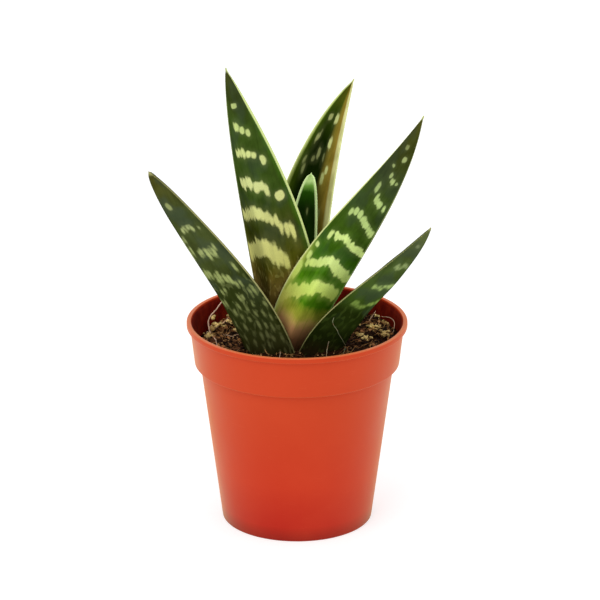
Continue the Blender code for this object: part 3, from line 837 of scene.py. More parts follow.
def scatter_crumbs():
    """Seeded places, radii and heights of the crumbs, drawn as the solid's are."""
    draw = random.Random(CRUMB_SEED)
    reach = pot_wall_radius(SOIL_LEVEL) - CRUMB_INSET
    crumbs = []
    for _ in range(CRUMB_COUNT):
        distance = reach * math.sqrt(draw.random())
        angle = draw.uniform(0.0, math.tau)
        radius = draw.uniform(*CRUMB_RADIUS)
        height = draw.uniform(*CRUMB_HEIGHT)
        crumbs.append((distance * math.cos(angle), distance * math.sin(angle), radius, height))
    return crumbs


def soil_relief(x, y, crumbs):
    """Height over the soil's level at arrays of places: slope, dip, slow swell, crumbs and fine lumps."""
    wall = pot_wall_radius(SOIL_LEVEL)
    share = np.clip((y - SOIL_DIP_START) / (SOIL_DIP_END - SOIL_DIP_START), 0.0, 1.0)
    inside = np.clip((wall - np.hypot(x, y)) / SOIL_DIP_ROOM, 0.0, 1.0)
    relief = SOIL_RISE * x / wall - SOIL_DIP * inside * share * share * (3 - 2 * share)
    for index in range(len(x)):
        place = Vector((x[index] / SOIL_LUMP_LENGTH, y[index] / SOIL_LUMP_LENGTH, SOIL_LUMP_SEED))
        relief[index] += SOIL_LUMP * noise.noise(place)
        fine = Vector((x[index], y[index], 0.0)) * SOIL_CRUMBLE_SCALE
        relief[index] += SOIL_CRUMBLE * noise.fractal(fine, *SOIL_CRUMBLE_NOISE)
    tallest = np.zeros(len(x))
    for crumb_x, crumb_y, radius, height in crumbs:
        off = np.hypot(x - crumb_x, y - crumb_y) / radius
        tallest = np.maximum(tallest, height * np.sqrt(np.clip(1.0 - off * off, 0.0, 1.0)))
    return relief + tallest


def soil_profile(ring_step):
    """Points from the middle of the soil's surface over its edge and down the pot to the floor."""
    edge_radius = pot_wall_radius(SOIL_LEVEL) - SOIL_GAP
    rings = round(edge_radius / ring_step)
    surface = [(edge_radius * i / rings, SOIL_LEVEL) for i in range(rings + 1)]
    ledge = STEP_HEIGHT + WALL + SOIL_GAP
    below_step = STEP_HEIGHT - SOIL_LEDGE_ROOM
    low = FLOOR_TOP + 2 * FOOT_ROUND
    bottom = FLOOR_TOP + SOIL_GAP
    return surface + [
        (pot_wall_radius(ledge + SOIL_LEDGE_ROOM) - SOIL_GAP, ledge + SOIL_LEDGE_ROOM),
        (BODY_TOP_RADIUS - WALL - SOIL_GAP, ledge - SOIL_LEDGE_ROOM),
        (pot_wall_radius(below_step) - SOIL_GAP, below_step),
        (pot_wall_radius(low) - SOIL_GAP, low),
        (pot_wall_radius(FLOOR_TOP) - 2 * FOOT_ROUND, bottom), (0.0, bottom),
    ]


def soil_paint(looks):
    """Dark moist peat with browner fibres and a few pale specks."""
    paint = Paint("potting_soil", 0.9, 0.04)
    fine = paint.noise(900.0, 4.0, 0.65)
    tone = paint.mix(paint.span(paint.noise(160.0, 4.0, 0.6), 0.35, 0.7), (*looks.colour, 1.0), (48, 24, 12))
    tone = paint.mix(paint.span(fine, 0.55, 0.8, 0.0, 0.6), tone, (84, 48, 26))
    cells = paint.add("ShaderNodeTexVoronoi", {"Vector": paint.place, "Scale": 700.0}, "Distance")
    tone = paint.mix(paint.span(cells, 0.06, 0.03, 0.0, 0.4), tone, (168, 140, 100))
    rough = paint.span(fine, 0.3, 0.7, 0.95, 0.7)
    return paint.coat(Base_Color=tone, Roughness=rough, Normal=paint.bump(fine, 0.8, 0.6 * MM))


def grain_paint(name, pale, dark, roughness, evenness, patches):
    """Bark, sand or peat bits, each with its own tone, fewer of them pale the higher the evenness is. Patches
    are the shares of that tone where the soil is dark and where it is pale."""
    paint = Paint(name, roughness, 0.05)
    patch = paint.noise(150.0, 2.0, 0.5) - paint.axis(paint.place, "X") * 1.8
    tone = paint.math("POWER", paint.attribute("tone"), evenness)
    tone = paint.math("MULTIPLY", tone, paint.span(patch, 0.42, 0.57, *patches), clamp=True)
    fine = paint.noise(1500.0, 3.0, 0.6)
    tone = paint.mix(paint.span(fine, 0.5, 0.8, 0.0, 0.55), paint.mix(tone, dark, pale), dark)
    return paint.coat(Base_Color=tone, Normal=paint.bump(fine, 0.5, 0.2 * MM))


def scatter_tree():
    """Scatters lumpy bits over the upward faces of a mesh, or sets them on the points of a bare mesh."""
    nodes, given = new_tree("scatter_bits", {
        "On Points": False, "Density": 10000.0, "Lowest": 0.0, "Reach": 1.0, "Front": -1.0, "Seed": 1,
        "Smallest": 0.5 * MM, "Largest": 1.5 * MM, "Stretch": 1.0, "Squash": 0.6, "Lumpiness": 0.3,
        "Material": None,
    })
    seed = given["Seed"]
    place = nodes.add("GeometryNodeInputPosition")
    up = nodes.axis(nodes.add("GeometryNodeInputNormal"), "Z")
    off_axis = nodes.vector("LENGTH", nodes.vector("MULTIPLY", place, (1, 1, 0)), output="Value")
    chosen = nodes.math("GREATER_THAN", up, 0.25)
    chosen = chosen * nodes.math("GREATER_THAN", nodes.axis(place, "Z"), given["Lowest"])
    chosen = chosen * nodes.math("GREATER_THAN", nodes.axis(place, "Y"), given["Front"])
    chosen = chosen * nodes.math("LESS_THAN", off_axis, given["Reach"])
    strewn = nodes.add("GeometryNodeDistributePointsOnFaces", {
        "Mesh": given["Geometry"], "Selection": chosen, "Density": given["Density"], "Seed": seed,
    })
    own = nodes.add("GeometryNodeMeshToPoints", {"Mesh": given["Geometry"]})
    points = nodes.add("GeometryNodeSwitch", {
        "Switch": given["On Points"], "False": strewn, "True": own,
    }, input_type="GEOMETRY")
    toned = nodes.add("GeometryNodeStoreNamedAttribute", {
        "Geometry": points, "Name": "tone", "Value": nodes.draw(0.0, 1.0, seed),
    }, data_type="FLOAT", domain="POINT")
    # A cube of 24 faces blown up to a ball is the start of every crumb and grain
    cube = nodes.add("GeometryNodeMeshCube", {
        "Size": (1, 1, 1), "Vertices X": 3, "Vertices Y": 3, "Vertices Z": 3,
    })
    ball = nodes.vector("SCALE", nodes.vector("NORMALIZE", place), 0.5)
    squash = nodes.add("ShaderNodeCombineXYZ", {"X": given["Stretch"], "Y": 1.0, "Z": given["Squash"]})
    shape = nodes.vector("MULTIPLY", nodes.draw((0.7, 0.7, 0.6), (1.3, 1.0, 1.0), seed), squash)
    bits = nodes.add("GeometryNodeInstanceOnPoints", {
        "Points": toned,
        "Instance": nodes.add("GeometryNodeSetPosition", {"Geometry": cube, "Position": ball}),
        "Rotation": nodes.draw((0, 0, 0), (0.7, 0.7, 6.3), seed),
        "Scale": nodes.vector("SCALE", shape, nodes.draw(given["Smallest"], given["Largest"], seed)),
    })
    real = nodes.add("GeometryNodeRealizeInstances", {"Geometry": bits})
    lumpy = nodes.shaken(real, 1100.0, given["Lumpiness"] * given["Largest"])
    return close_tree(nodes, given, lumpy, False)


@dataclass
class Bits:
    """One kind of loose bits on the soil. Sizes are millimetres."""

    name: str
    density: float  # bits for each square metre
    smallest: float
    largest: float
    stretch: float
    squash: float
    lumpiness: float
    pale: tuple
    dark: tuple
    front: float = -50.0  # the bits lie behind this place on Y


SOIL_BITS = (
    Bits("soil_lumps", 42000, 1.8, 4.6, 1.0, 0.8, 0.5, (104, 66, 42), (20, 9, 4), -11.0),
    Bits("soil_crumbs", 200000, 0.7, 2.0, 1.0, 0.85, 0.5, (168, 116, 72), (17, 8, 4), -13.0),
    Bits("soil_dust", 300000, 0.3, 0.8, 1.0, 0.8, 0.3, (200, 158, 106), (26, 14, 7)),
    Bits("soil_chips", 40000, 0.8, 1.7, 2.8, 0.35, 0.3, (208, 156, 104), (56, 30, 18), -12.0),
)
# Clusters of pale grains, as (place, spread, count), and large grains, in millimetres
GRAIN_CLUSTERS = (
    ((31.5, 8.0, 78.4), 2.2, 70), ((33.5, 20.5, 78.2), 1.6, 26), ((36.5, 14.0, 78.0), 2.2, 26),
    ((35.5, 3.0, 77.6), 2.6, 40), ((28.0, -2.0, 77.0), 2.2, 18), ((24.5, 12.0, 77.4), 3.0, 14),
    ((-26.0, 20.0, 76.6), 2.0, 50), ((-30.2, 28.2, 77.0), 1.2, 14), ((-37.0, 19.2, 79.0), 0.9, 16),
    ((-33.0, 18.0, 75.8), 3.0, 40), ((-24.0, 12.0, 76.0), 2.4, 20), ((-36.0, 8.0, 75.2), 2.0, 20),
    ((4.0, 30.0, 77.4), 6.0, 24), ((-8.0, -34.0, 73.2), 5.0, 12),
)
GRAIN_REACH = 39.0
GRAIN_LIFT = (-0.3, 1.1)  # millimetres over the cluster's middle
LARGE_GRAINS = (
    (26.1, 1.6, 77.8), (24.8, 2.6, 77.4), (30.2, 9.6, 78.4), (-28.6, 20.0, 76.6), (-35.0, 14.0, 76.0),
)


def grain_places(seed):
    """A place for each grain of the clusters, in millimetres."""
    draw = random.Random(seed)
    places = []
    for centre, spread, count in GRAIN_CLUSTERS:
        for _ in range(count):
            x = centre[0] + draw.gauss(0.0, spread / 2)
            y = centre[1] + draw.gauss(0.0, spread / 2)
            reach = GRAIN_REACH / max(GRAIN_REACH, math.hypot(x, y))
            places.append((x * reach, y * reach, centre[2] + draw.uniform(*GRAIN_LIFT)))
    return places


class SoilLooks(bpy.types.PropertyGroup):
    colour: colour_setting("Soil", "Colour of the moist peat", (24, 11, 5))
    ring_step: length_setting("Ring Step", "Distance between the surface's rings", 0.5, 0.2, 4)
    bits: share_setting("Loose Bits", "Share of the loose lumps, crumbs and chips", 1.0)
    seed: count_setting("Seed", "Draw of the scattered bits", 4, 0, 999)


class ALOE_OT_soil(bpy.types.Operator):
    """Fill the pot with lumpy potting soil, loose crumbs and pale grains"""

    bl_idname = "aloe.soil"
    bl_label = "Soil"

    def execute(self, context):
        looks = context.scene.aloe_soil
        mesh = turned_mesh("soil_bed", soil_profile(looks.ring_step), SOIL_SEGMENTS)
        points = np.array([vertex.co for vertex in mesh.vertices], dtype=float)
        top = points[:, 2] > SOIL_LEVEL - SOIL_GAP
        points[top, 2] += soil_relief(points[top, 0], points[top, 1], scatter_crumbs())
        mesh.vertices.foreach_set("co", points.ravel())
        mesh.update()
        soil = new_piece("soil_bed", mesh)
        mesh.materials.append(soil_paint(looks))
        tree = scatter_tree()
        soil_edge = pot_wall_radius(SOIL_LEVEL) - SOIL_GAP
        for place, kind in enumerate(SOIL_BITS):
            seat(run_tree(kind.name, soil, tree, {
                "Density": kind.density * looks.bits, "Seed": looks.seed + place, "Front": kind.front * MM,
                "Lowest": SOIL_LEVEL - BITS_DEPTH,
                "Reach": soil_edge - BITS_INSET * kind.largest * kind.stretch * MM,
                "Smallest": kind.smallest * MM, "Largest": kind.largest * MM, "Stretch": kind.stretch,
                "Squash": kind.squash, "Lumpiness": kind.lumpiness,
                "Material": grain_paint(kind.name, kind.pale, kind.dark, 0.85, 2.2, (0.06, 2.3)),
            }), "potting_soil")
        bark = grain_paint("grain_bark", (255, 226, 150), (128, 90, 38), 0.6, 0.9, (0.75, 1.2))
        for name, places, seed, smallest, largest, squash, lumpiness in (
            ("soil_grains", grain_places(looks.seed), 8, 0.5, 1.6, 0.9, 0.35),
            ("large_grains", LARGE_GRAINS, 9, 2.4, 3.2, 0.8, 0.3),
        ):
            guide = new_mesh(name, [[value * MM for value in spot] for spot in places])
            seat(run_on_mesh(name, guide, tree, {
                "On Points": True, "Seed": looks.seed + seed, "Smallest": smallest * MM,
                "Largest": largest * MM, "Squash": squash, "Lumpiness": lumpiness, "Material": bark,
            }), "potting_soil")
        seat(soil, "potting_soil", "soil")
        return {"FINISHED"}


# Thin roots on the soil, each a little off what lies under it, as (points, radius, colour) in millimetres.
# The colour is 0 for pinkish white and 1 for greenish.
ROOTS = (
    ((
        (-31.0, 25.5, 84.0), (-33.0, 23.5, 81.5), (-35.4, 20.0, 79.8), (-36.6, 16.8, 78.2),
        (-36.2, 14.5, 75.8), (-35.6, 12.0, 74.6), (-34.4, 7.0, 75.0), (-33.2, 0.0, 76.2), (-32.4, -6.0, 75.6),
    ), 0.27, 0.0),
    (((-35.8, 19.0, 75.4), (-33.6, 20.0, 75.6), (-31.0, 18.8, 76.4), (-28.4, 20.5, 78.4)), 0.22, 0.0),
    ((
        (14.8, -25.2, 95.2), (14.3, -24.0, 92.6), (16.0, -21.2, 88.6), (17.2, -19.0, 85.2),
        (18.8, -16.6, 81.6), (19.6, -13.4, 78.6), (18.9, -15.0, 76.4), (18.5, -17.4, 74.4),
    ), 0.13, 1.0),
    (((12.8, -18.2, 82.4), (12.2, -16.8, 79.2), (11.9, -17.2, 76.4), (11.8, -17.6, 73.6)), 0.16, 0.6),
    (((32.6, 24.6, 79.8), (31.2, 20.0, 79.6), (30.0, 16.0, 79.2), (29.0, 11.0, 78.6)), 0.14, 0.2),
    ((
        (35.0, 17.5, 80.0), (38.0, 14.5, 80.6), (39.8, 9.0, 80.8), (39.6, 4.0, 79.4), (38.4, -1.0, 77.4),
    ), 0.14, 0.1),
)
STRAY_ROOTS = 9
STRAY_POINTS = 6
STRAY_STEP = 2.2  # millimetres between the points of a stray root
STRAY_LIFT = (0.3, 1.6)  # millimetres over the soil
STRAY_COLOUR = 0.2
PATH_STEP = 0.5 * MM
ROOT_END = 0.45  # thickness of the far end, as a share of the thickest place
ROOT_SHIFT = 0.15  # share of its length by which a root's thickest place is nearer its start
FIBRE_POINTS = 4
FIBRE_STEP = 1.3  # millimetres between the points of a fibre
FIBRE_LIFT = (0.2, 1.8)  # millimetres over the soil
FIBRE_TURN = 0.7  # radians, the most that a fibre turns at a point
FIBRE_INNER = 12.0  # millimetres from the axis, where fibres and stray roots start
FIBRE_OUTER = 38.5
# Mats of coir fibres, as (place, spread) in millimetres
FIBRE_MATS = (((-31.0, 17.0), 9.0), ((-27.0, 22.0), 6.0), ((33.0, 8.0), 10.0), ((30.0, -14.0), 12.0))


def smooth_path(points, step):
    """Points about a step apart on a smooth curve through the given points."""
    padded = [points[0] * 2 - points[1]] + points + [points[-1] * 2 - points[-2]]
    path = []
    for a, b, c, d in zip(padded, padded[1:], padded[2:], padded[3:]):
        count = max(2, round((c - b).length / step))
        for index in range(count):
            t = index / count
            bend = b * 2 + (c - a) * t + (a * 2 - b * 5 + c * 4 - d) * t * t
            path.append((bend + (b * 3 - a - c * 3 + d) * t ** 3) / 2)
    return path + [points[-1]]


def wander(draw, crumbs, x, y, count, step, lift):
    """Points of a fibre that wanders over the soil from a place, in millimetres."""
    heading = draw.uniform(0.0, math.tau)
    ends = [draw.uniform(*lift), draw.uniform(*lift)]
    xs = []
    ys = []
    for _ in range(count):
        limit = FIBRE_OUTER / max(FIBRE_OUTER, math.hypot(x, y))
        x, y = x * limit, y * limit
        xs.append(x)
        ys.append(y)
        heading += draw.uniform(-FIBRE_TURN, FIBRE_TURN)
        x += step * math.cos(heading)
        y += step * math.sin(heading)
    relief = soil_relief(np.array(xs) * MM, np.array(ys) * MM, crumbs) / MM
    heights = SOIL_LEVEL / MM + relief + np.linspace(*ends, count)
    return list(zip(xs, ys, heights.tolist()))


def stray_fibres(count, points, step, lift, seed):
    """Fine fibres or roots lying on the soil, half of them in mats where the photograph shows such."""
    draw = random.Random(seed)
    crumbs = scatter_crumbs()
    found = []
    for index in range(count):
        if index % 2:
            centre, spread = draw.choice(FIBRE_MATS)
            x = centre[0] + draw.gauss(0.0, spread / 2)
            y = centre[1] + draw.gauss(0.0, spread / 2)
        else:
            angle = draw.uniform(0.0, math.tau)
            distance = draw.uniform(FIBRE_INNER, FIBRE_OUTER)
            x = distance * math.cos(angle)
            y = distance * math.sin(angle)
        found.append(wander(draw, crumbs, x, y, points, step, lift))
    return found


def root_tree():
    """Gives each line of the mesh the round, tapering, slightly crooked body of a root."""
    nodes, given = new_tree("root_bodies", {
        "Step": 0.6 * MM, "Crookedness": 0.5 * MM, "Sides": 7, "Material": None,
    })
    crooked = nodes.shaken(nodes.even_curve(given["Geometry"], given["Step"]), 340.0, given["Crookedness"])
    radius = nodes.add("GeometryNodeInputNamedAttribute", {"Name": "thickness"}, data_type="FLOAT")
    thick = nodes.add("GeometryNodeSetCurveRadius", {"Curve": crooked, "Radius": radius})
    ring = nodes.add("GeometryNodeCurvePrimitiveCircle", {"Resolution": given["Sides"], "Radius": 1.0})
    body = nodes.add("GeometryNodeCurveToMesh", {
        "Curve": thick, "Profile Curve": ring, "Scale": radius, "Fill Caps": True,
    })
    return close_tree(nodes, given, body, True)


def root_paint(looks):
    paint = Paint("root_skin", 0.6, 0.1)
    spots = paint.noise(420.0, 3.0, 0.6)
    tone = paint.mix(paint.attribute("green"), (*looks.colour, 1.0), (150, 158, 122))
    tone = paint.mix(paint.span(spots, 0.4, 0.75, 0.0, 0.8), tone, (160, 118, 84))
    return paint.coat(Base_Color=tone, Normal=paint.bump(spots, 0.4, 0.1 * MM))


def fibre_paint():
    """Coir fibres from golden to reddish brown, each with its own tone."""
    paint = Paint("coir_fibre", 0.8, 0.05)
    stops = ((0.0, (62, 34, 20)), (0.5, (134, 88, 50)), (1.0, (206, 158, 98)))
    return paint.coat(Base_Color=paint.ramp(paint.attribute("green"), stops))


def lay_lines(name, lines, sides, material):
    """A piece of round fibres or roots. A line is its points and radius in millimetres, and its colour."""
    vertices = []
    edges = []
    thickness = []
    green = []
    for points, radius, shade in lines:
        path = smooth_path([Vector(point) * MM for point in points], PATH_STEP)
        start = len(vertices)
        vertices += path
        edges += [(start + i, start + i + 1) for i in range(len(path) - 1)]
        for index in range(len(path)):
            share = index / (len(path) - 1)
            swelling = math.sqrt(math.sin(math.pi * min(1.0, ROOT_SHIFT + share)))
            thickness.append(radius * MM * (ROOT_END + (1 - ROOT_END) * swelling))
            green.append(shade)
    guide = new_mesh(name, vertices, edges)
    add_values(guide, "thickness", thickness)
    add_values(guide, "green", green)
    return run_on_mesh(name, guide, root_tree(), {"Sides": sides, "Material": material})


class RootLooks(bpy.types.PropertyGroup):
    colour: colour_setting("Roots", "Colour of the fine roots", (240, 202, 174))
    stray_radius: length_setting("Stray Radius", "Half the thickness of the stray roots", 0.12, 0.05, 1)
    fibres: count_setting("Fibres", "Number of short coir fibres", 520, 0, 1500)
    fibre_radius: length_setting("Fibre Radius", "Half the thickness of the fibres", 0.09, 0.03, 0.5)
    seed: count_setting("Seed", "Draw of the stray roots", 7, 0, 999)


class ALOE_OT_roots(bpy.types.Operator):
    """Lay the fine bare roots on the soil and against the pot's wall"""

    bl_idname = "aloe.roots"
    bl_label = "Roots"

    def execute(self, context):
        looks = context.scene.aloe_roots
        stray = stray_fibres(STRAY_ROOTS, STRAY_POINTS, STRAY_STEP, STRAY_LIFT, looks.seed)
        lines = [*ROOTS, *((points, looks.stray_radius / MM, STRAY_COLOUR) for points in stray)]
        seat(lay_lines("bare_roots", lines, 7, root_paint(looks)), "stem_bark")
        draw = random.Random(looks.seed + 2)
        lines = []
        fibres = stray_fibres(looks.fibres, FIBRE_POINTS, FIBRE_STEP, FIBRE_LIFT, looks.seed + 1)
        for points in fibres:
            lines.append((points, looks.fibre_radius / MM * draw.uniform(0.7, 1.4), draw.random()))
        seat(lay_lines("soil_fibres", lines, 4, fibre_paint()), "potting_soil")
        return {"FINISHED"}


def away(degrees):
    """The level direction a leaf faces or leans: 0 is the front, positive is to the right."""
    angle = np.radians(degrees)
    return np.stack([np.sin(angle), -np.cos(angle), np.zeros_like(angle)], axis=-1)


def unit(vectors):
    return vectors / np.linalg.norm(vectors, axis=-1, keepdims=True)


@dataclass
class LeafLines:
    """The lines that a leaf is built on, an entry for each station from base to tip, in millimetres."""

    share: np.ndarray
    middle: np.ndarray
    side: np.ndarray
    upper: np.ndarray
    along: np.ndarray
    half_width: np.ndarray


def leaf_lines(leaf, step):
    count = round(leaf.length / step) + 1
    share = np.linspace(0.0, 1.0, count)
    lean = leaf.lean_out + (leaf.lean_base - leaf.lean_out) * (1 - share) ** BEND_POWER
    lean = np.radians(lean + leaf.curl * share ** CURL_POWER)
    up = np.array((0.0, 0.0, 1.0))
    along = away(np.full(count, leaf.leans)) * np.sin(lean)[:, None] + up * np.cos(lean)[:, None]
    steps = (along[1:] + along[:-1]) / 2 * leaf.length / (count - 1)
    middle = np.array(leaf.base) + np.vstack([np.zeros(3), np.cumsum(steps, axis=0)])
    upper = -away(leaf.faces + leaf.turns * share)
    upper = unit(upper - along * (upper * along).sum(axis=1, keepdims=True))
    half_width = leaf.width / 2 * (1 - share ** 2) ** leaf.fullness
    half_width = half_width * (1 - leaf.waist * (1 - share) ** WAIST_POWER)
    half_width = np.maximum(half_width, TIP_HALF_WIDTH)
    return LeafLines(share, middle, np.cross(along, upper), upper, along, half_width)


def soft_keel(across):
    """The outer power of the solid with its crease at the keel rounded."""
    soft = np.sqrt(across ** 2 + KEEL_SOFTNESS ** 2) - KEEL_SOFTNESS
    return (soft / (math.sqrt(1 + KEEL_SOFTNESS ** 2) - KEEL_SOFTNESS)) ** OUTER_POWER


def leaf_sections(leaf, lines):
    """Grids of one row per station: side and height of each section point, its share across, its distance
    from the margin's outermost line, positive on the upper face, and which side it is on."""
    half = lines.half_width[:, None]
    rise = leaf.fold * half
    depth = leaf.keel * half + LEAST_DEPTH
    edge = np.minimum(MARGIN, rise + depth)
    bead = edge / 2
    reach = half - bead * BEAD_INSET
    even = np.linspace(1.0, -1.0, UPPER_COLUMNS)
    crowded = np.cos(np.linspace(0.0, math.pi, UPPER_COLUMNS))
    upper = COLUMN_CROWDING * crowded + (1 - COLUMN_CROWDING) * even
    back = np.linspace(-1.0, 1.0, BACK_COLUMNS + 1)
    turn = np.linspace(math.pi / 2, -math.pi / 2, BEAD_STEPS + 2)[1:-1]
    bulge = reach + bead * np.cos(turn)
    round_edge = rise - bead + bead * np.sin(turn)
    side = np.hstack([upper * reach, -bulge, back * reach, bulge[:, ::-1]])
    height = np.hstack([
        rise * np.abs(upper) ** INNER_POWER, round_edge,
        (rise + depth - edge) * soft_keel(np.abs(back)) - depth, round_edge[:, ::-1],
    ])
    ones = np.ones_like(turn)
    share = np.ones_like(half) * np.concatenate([upper, -ones, back, ones])
    face = np.concatenate([np.ones(UPPER_COLUMNS), turn > 0, np.zeros(BACK_COLUMNS + 1), turn[::-1] > 0])
    quarter = bead * math.pi / 2
    rim = np.hstack([
        (1 - np.abs(upper)) * reach + quarter, bead * turn,
        -(1 - np.abs(back)) * reach - quarter, bead * turn[::-1],
    ])
    return side, height, share, rim, np.ones_like(half) * face


def press_behind(points, front, step):
    """Moves points, in millimetres, out of the leaf in front of them, in a dent that ends beside it."""
    lines = leaf_lines(front, step)
    off_station = points @ lines.along.T - (lines.middle * lines.along).sum(axis=1)
    station = np.abs(off_station).argmin(axis=1)
    beside = np.abs(off_station[np.arange(len(points)), station]) < step
    off = points - lines.middle[station]
    side = np.abs((off * lines.side[station]).sum(axis=1))
    height = (off * lines.upper[station]).sum(axis=1)
    half = lines.half_width[station]
    surface = front.fold * half * np.minimum(side / half, 1.0) ** INNER_POWER + PRESS_GAP
    surface = surface - np.maximum(side - half, 0.0)
    deepest = -(front.keel * half + LEAST_DEPTH)
    inside = beside & (height < surface) & (height > deepest) & (side < half + PRESS_REACH)
    lift = np.where(inside, surface - height, 0.0)
    return points + lines.upper[station] * lift[:, None]


def hidden_rows(leaf, lines, seed):
    """Rows by rule for a face that the photograph doesn't show."""
    draw = random.Random(seed)
    found = []
    at = ROW_START + draw.uniform(0.0, 4.0)
    while at < MARKED_SHARE * leaf.length:
        half = float(np.interp(at / leaf.length, lines.share, lines.half_width))
        longest = TIP_MARK + MARK_GROWTH * (1 - at / leaf.length)
        across = -MARKED_SHARE * half
        while across < MARKED_SHARE * half:
            shares = []
            for _ in range(draw.randint(1, LONGEST_RUN)):
                shares.append(min(LAST_MARK, across / half))
                across += MARK_STEP * draw.uniform(0.8, 1.2)
            length = longest * draw.uniform(0.7, 1.15)
            slip = draw.uniform(-RUN_SLIP, RUN_SLIP)
            found.append(Row(at + slip, ROW_DROP * half, tuple(shares), length, 1.5, draw.uniform(0.8, 1.0)))
            across += draw.choice(RUN_GAPS)
        at += ROW_STEP * draw.uniform(0.85, 1.15)
    return found


def mark_field(found, along, share, half, seed, mirrored):
    """How far inside a pale mark each place is, in millimetres, and how pale that mark is."""
    draw = random.Random(seed)
    weight = np.full(along.shape, 1e-6)
    tones = np.full(along.shape, 1e-6)
    for row in found:
        for given in row.shares:
            for flank in ((given, -given) if mirrored else (given,)):
                slip = draw.uniform(-MARK_JITTER, MARK_JITTER)
                length = row.length * draw.uniform(*MARK_LENGTHS) / 2
                width = row.width * draw.uniform(*MARK_WIDTHS) / 2
                tone = row.tone * draw.uniform(*MARK_TONES)
                off_side = np.abs(share - flank) * half / width
                off_along = np.abs(along - (row.at - row.drop * abs(flank) + slip)) / length
                off = (off_side ** MARK_CORNER + off_along ** MARK_CORNER) ** (1 / MARK_CORNER)
                inside = np.exp(MARK_BLEND * np.maximum((1 - off) * width, FARTHEST_MARK))
                weight = weight + inside
                tones = tones + inside * tone
    return np.maximum(np.log(weight) / MARK_BLEND, FARTHEST_MARK), tones / weight


def leaf_skin_mesh(leaf, lines, seed):
    """The finely lofted leaf with the values that its paint reads."""
    side, height, share, rim, face = leaf_sections(leaf, lines)
    stations, ring = side.shape
    swell = np.empty_like(side)
    for (row, column), across in np.ndenumerate(share):
        at = lines.share[row] * leaf.length / SWELL_LENGTH
        place = Vector((across * SWELLS_ACROSS, at, seed + face[row, column] * SWELL_APART))
        swell[row, column] = noise.noise(place)
    calm = np.clip(np.abs(rim) / SWELL_REACH, 0.0, 1.0)
    calm = calm * np.clip(lines.half_width / SWELL_FULL, 0.0, 1.0)[:, None]
    height = height + SWELL * swell * calm
    points = lines.middle[:, None, :] + lines.side[:, None, :] * side[..., None]
    points = (points + lines.upper[:, None, :] * height[..., None]).reshape(-1, 3)
    for front in LEAVES:
        if front.name == PRESSED_BEHIND.get(leaf.name):
            points = press_behind(points, front, leaf.length / (stations - 1))
    base_pole = lines.middle[0] - lines.upper[0] * leaf.keel * lines.half_width[0] / 2
    tip_pole = lines.middle[-1] + lines.along[-1] * SPINE_LENGTH
    points = np.vstack([points, base_pole, tip_pole]) * MM
    base = stations * ring
    last = base - ring
    faces = []
    for here in range(0, last, ring):
        for column in range(ring):
            beside = (column + 1) % ring
            faces.append((here + column, here + ring + column, here + ring + beside, here + beside))
    for column in range(ring):
        beside = (column + 1) % ring
        faces.append((base, column, beside))
        faces.append((base + 1, last + beside, last + column))
    mesh = new_mesh(leaf.name + "_skin", points.tolist(), faces=faces)
    mesh.shade_smooth()

    along = np.repeat(lines.share[:, None] * leaf.length, ring, axis=1)
    half = np.repeat(lines.half_width[:, None], ring, axis=1)
    back_rows = leaf.back_rows or hidden_rows(leaf, lines, seed + 1)
    upper_rows = leaf.upper_rows or hidden_rows(leaf, lines, seed + 2)
    back = mark_field(back_rows, along, share, half, seed + 3, leaf.mirror_rows)
    upper = mark_field(upper_rows, along, share, half, seed + 4, False)
    wide_rim = rim / np.clip(half / leaf.horn_full, 0.25, 1.0)
    for name, grid, ends in (
        ("along", along / leaf.length, (0.0, 1.0)), ("across", share, (0.0, 0.0)), ("face", face, (0.0, 0.0)),
        ("rim", wide_rim, (FARTHEST_RIM, FARTHEST_RIM)),
        ("tone", np.where(face > 0.5, upper[1], back[1]), (0.0, 0.0)),
        ("mark", np.where(face > 0.5, upper[0], back[0]), (FARTHEST_MARK, FARTHEST_MARK)),
    ):
        add_values(mesh, name, np.concatenate([grid.ravel(), ends]))
    apart = face * FACES_APART + seed * SEEDS_APART
    flat = np.stack([share * half, along, apart], axis=-1).reshape(-1, 3)
    add_values(mesh, "flat", np.vstack([flat, flat[0], flat[-1]]), "FLOAT_VECTOR", "vector")
    return mesh


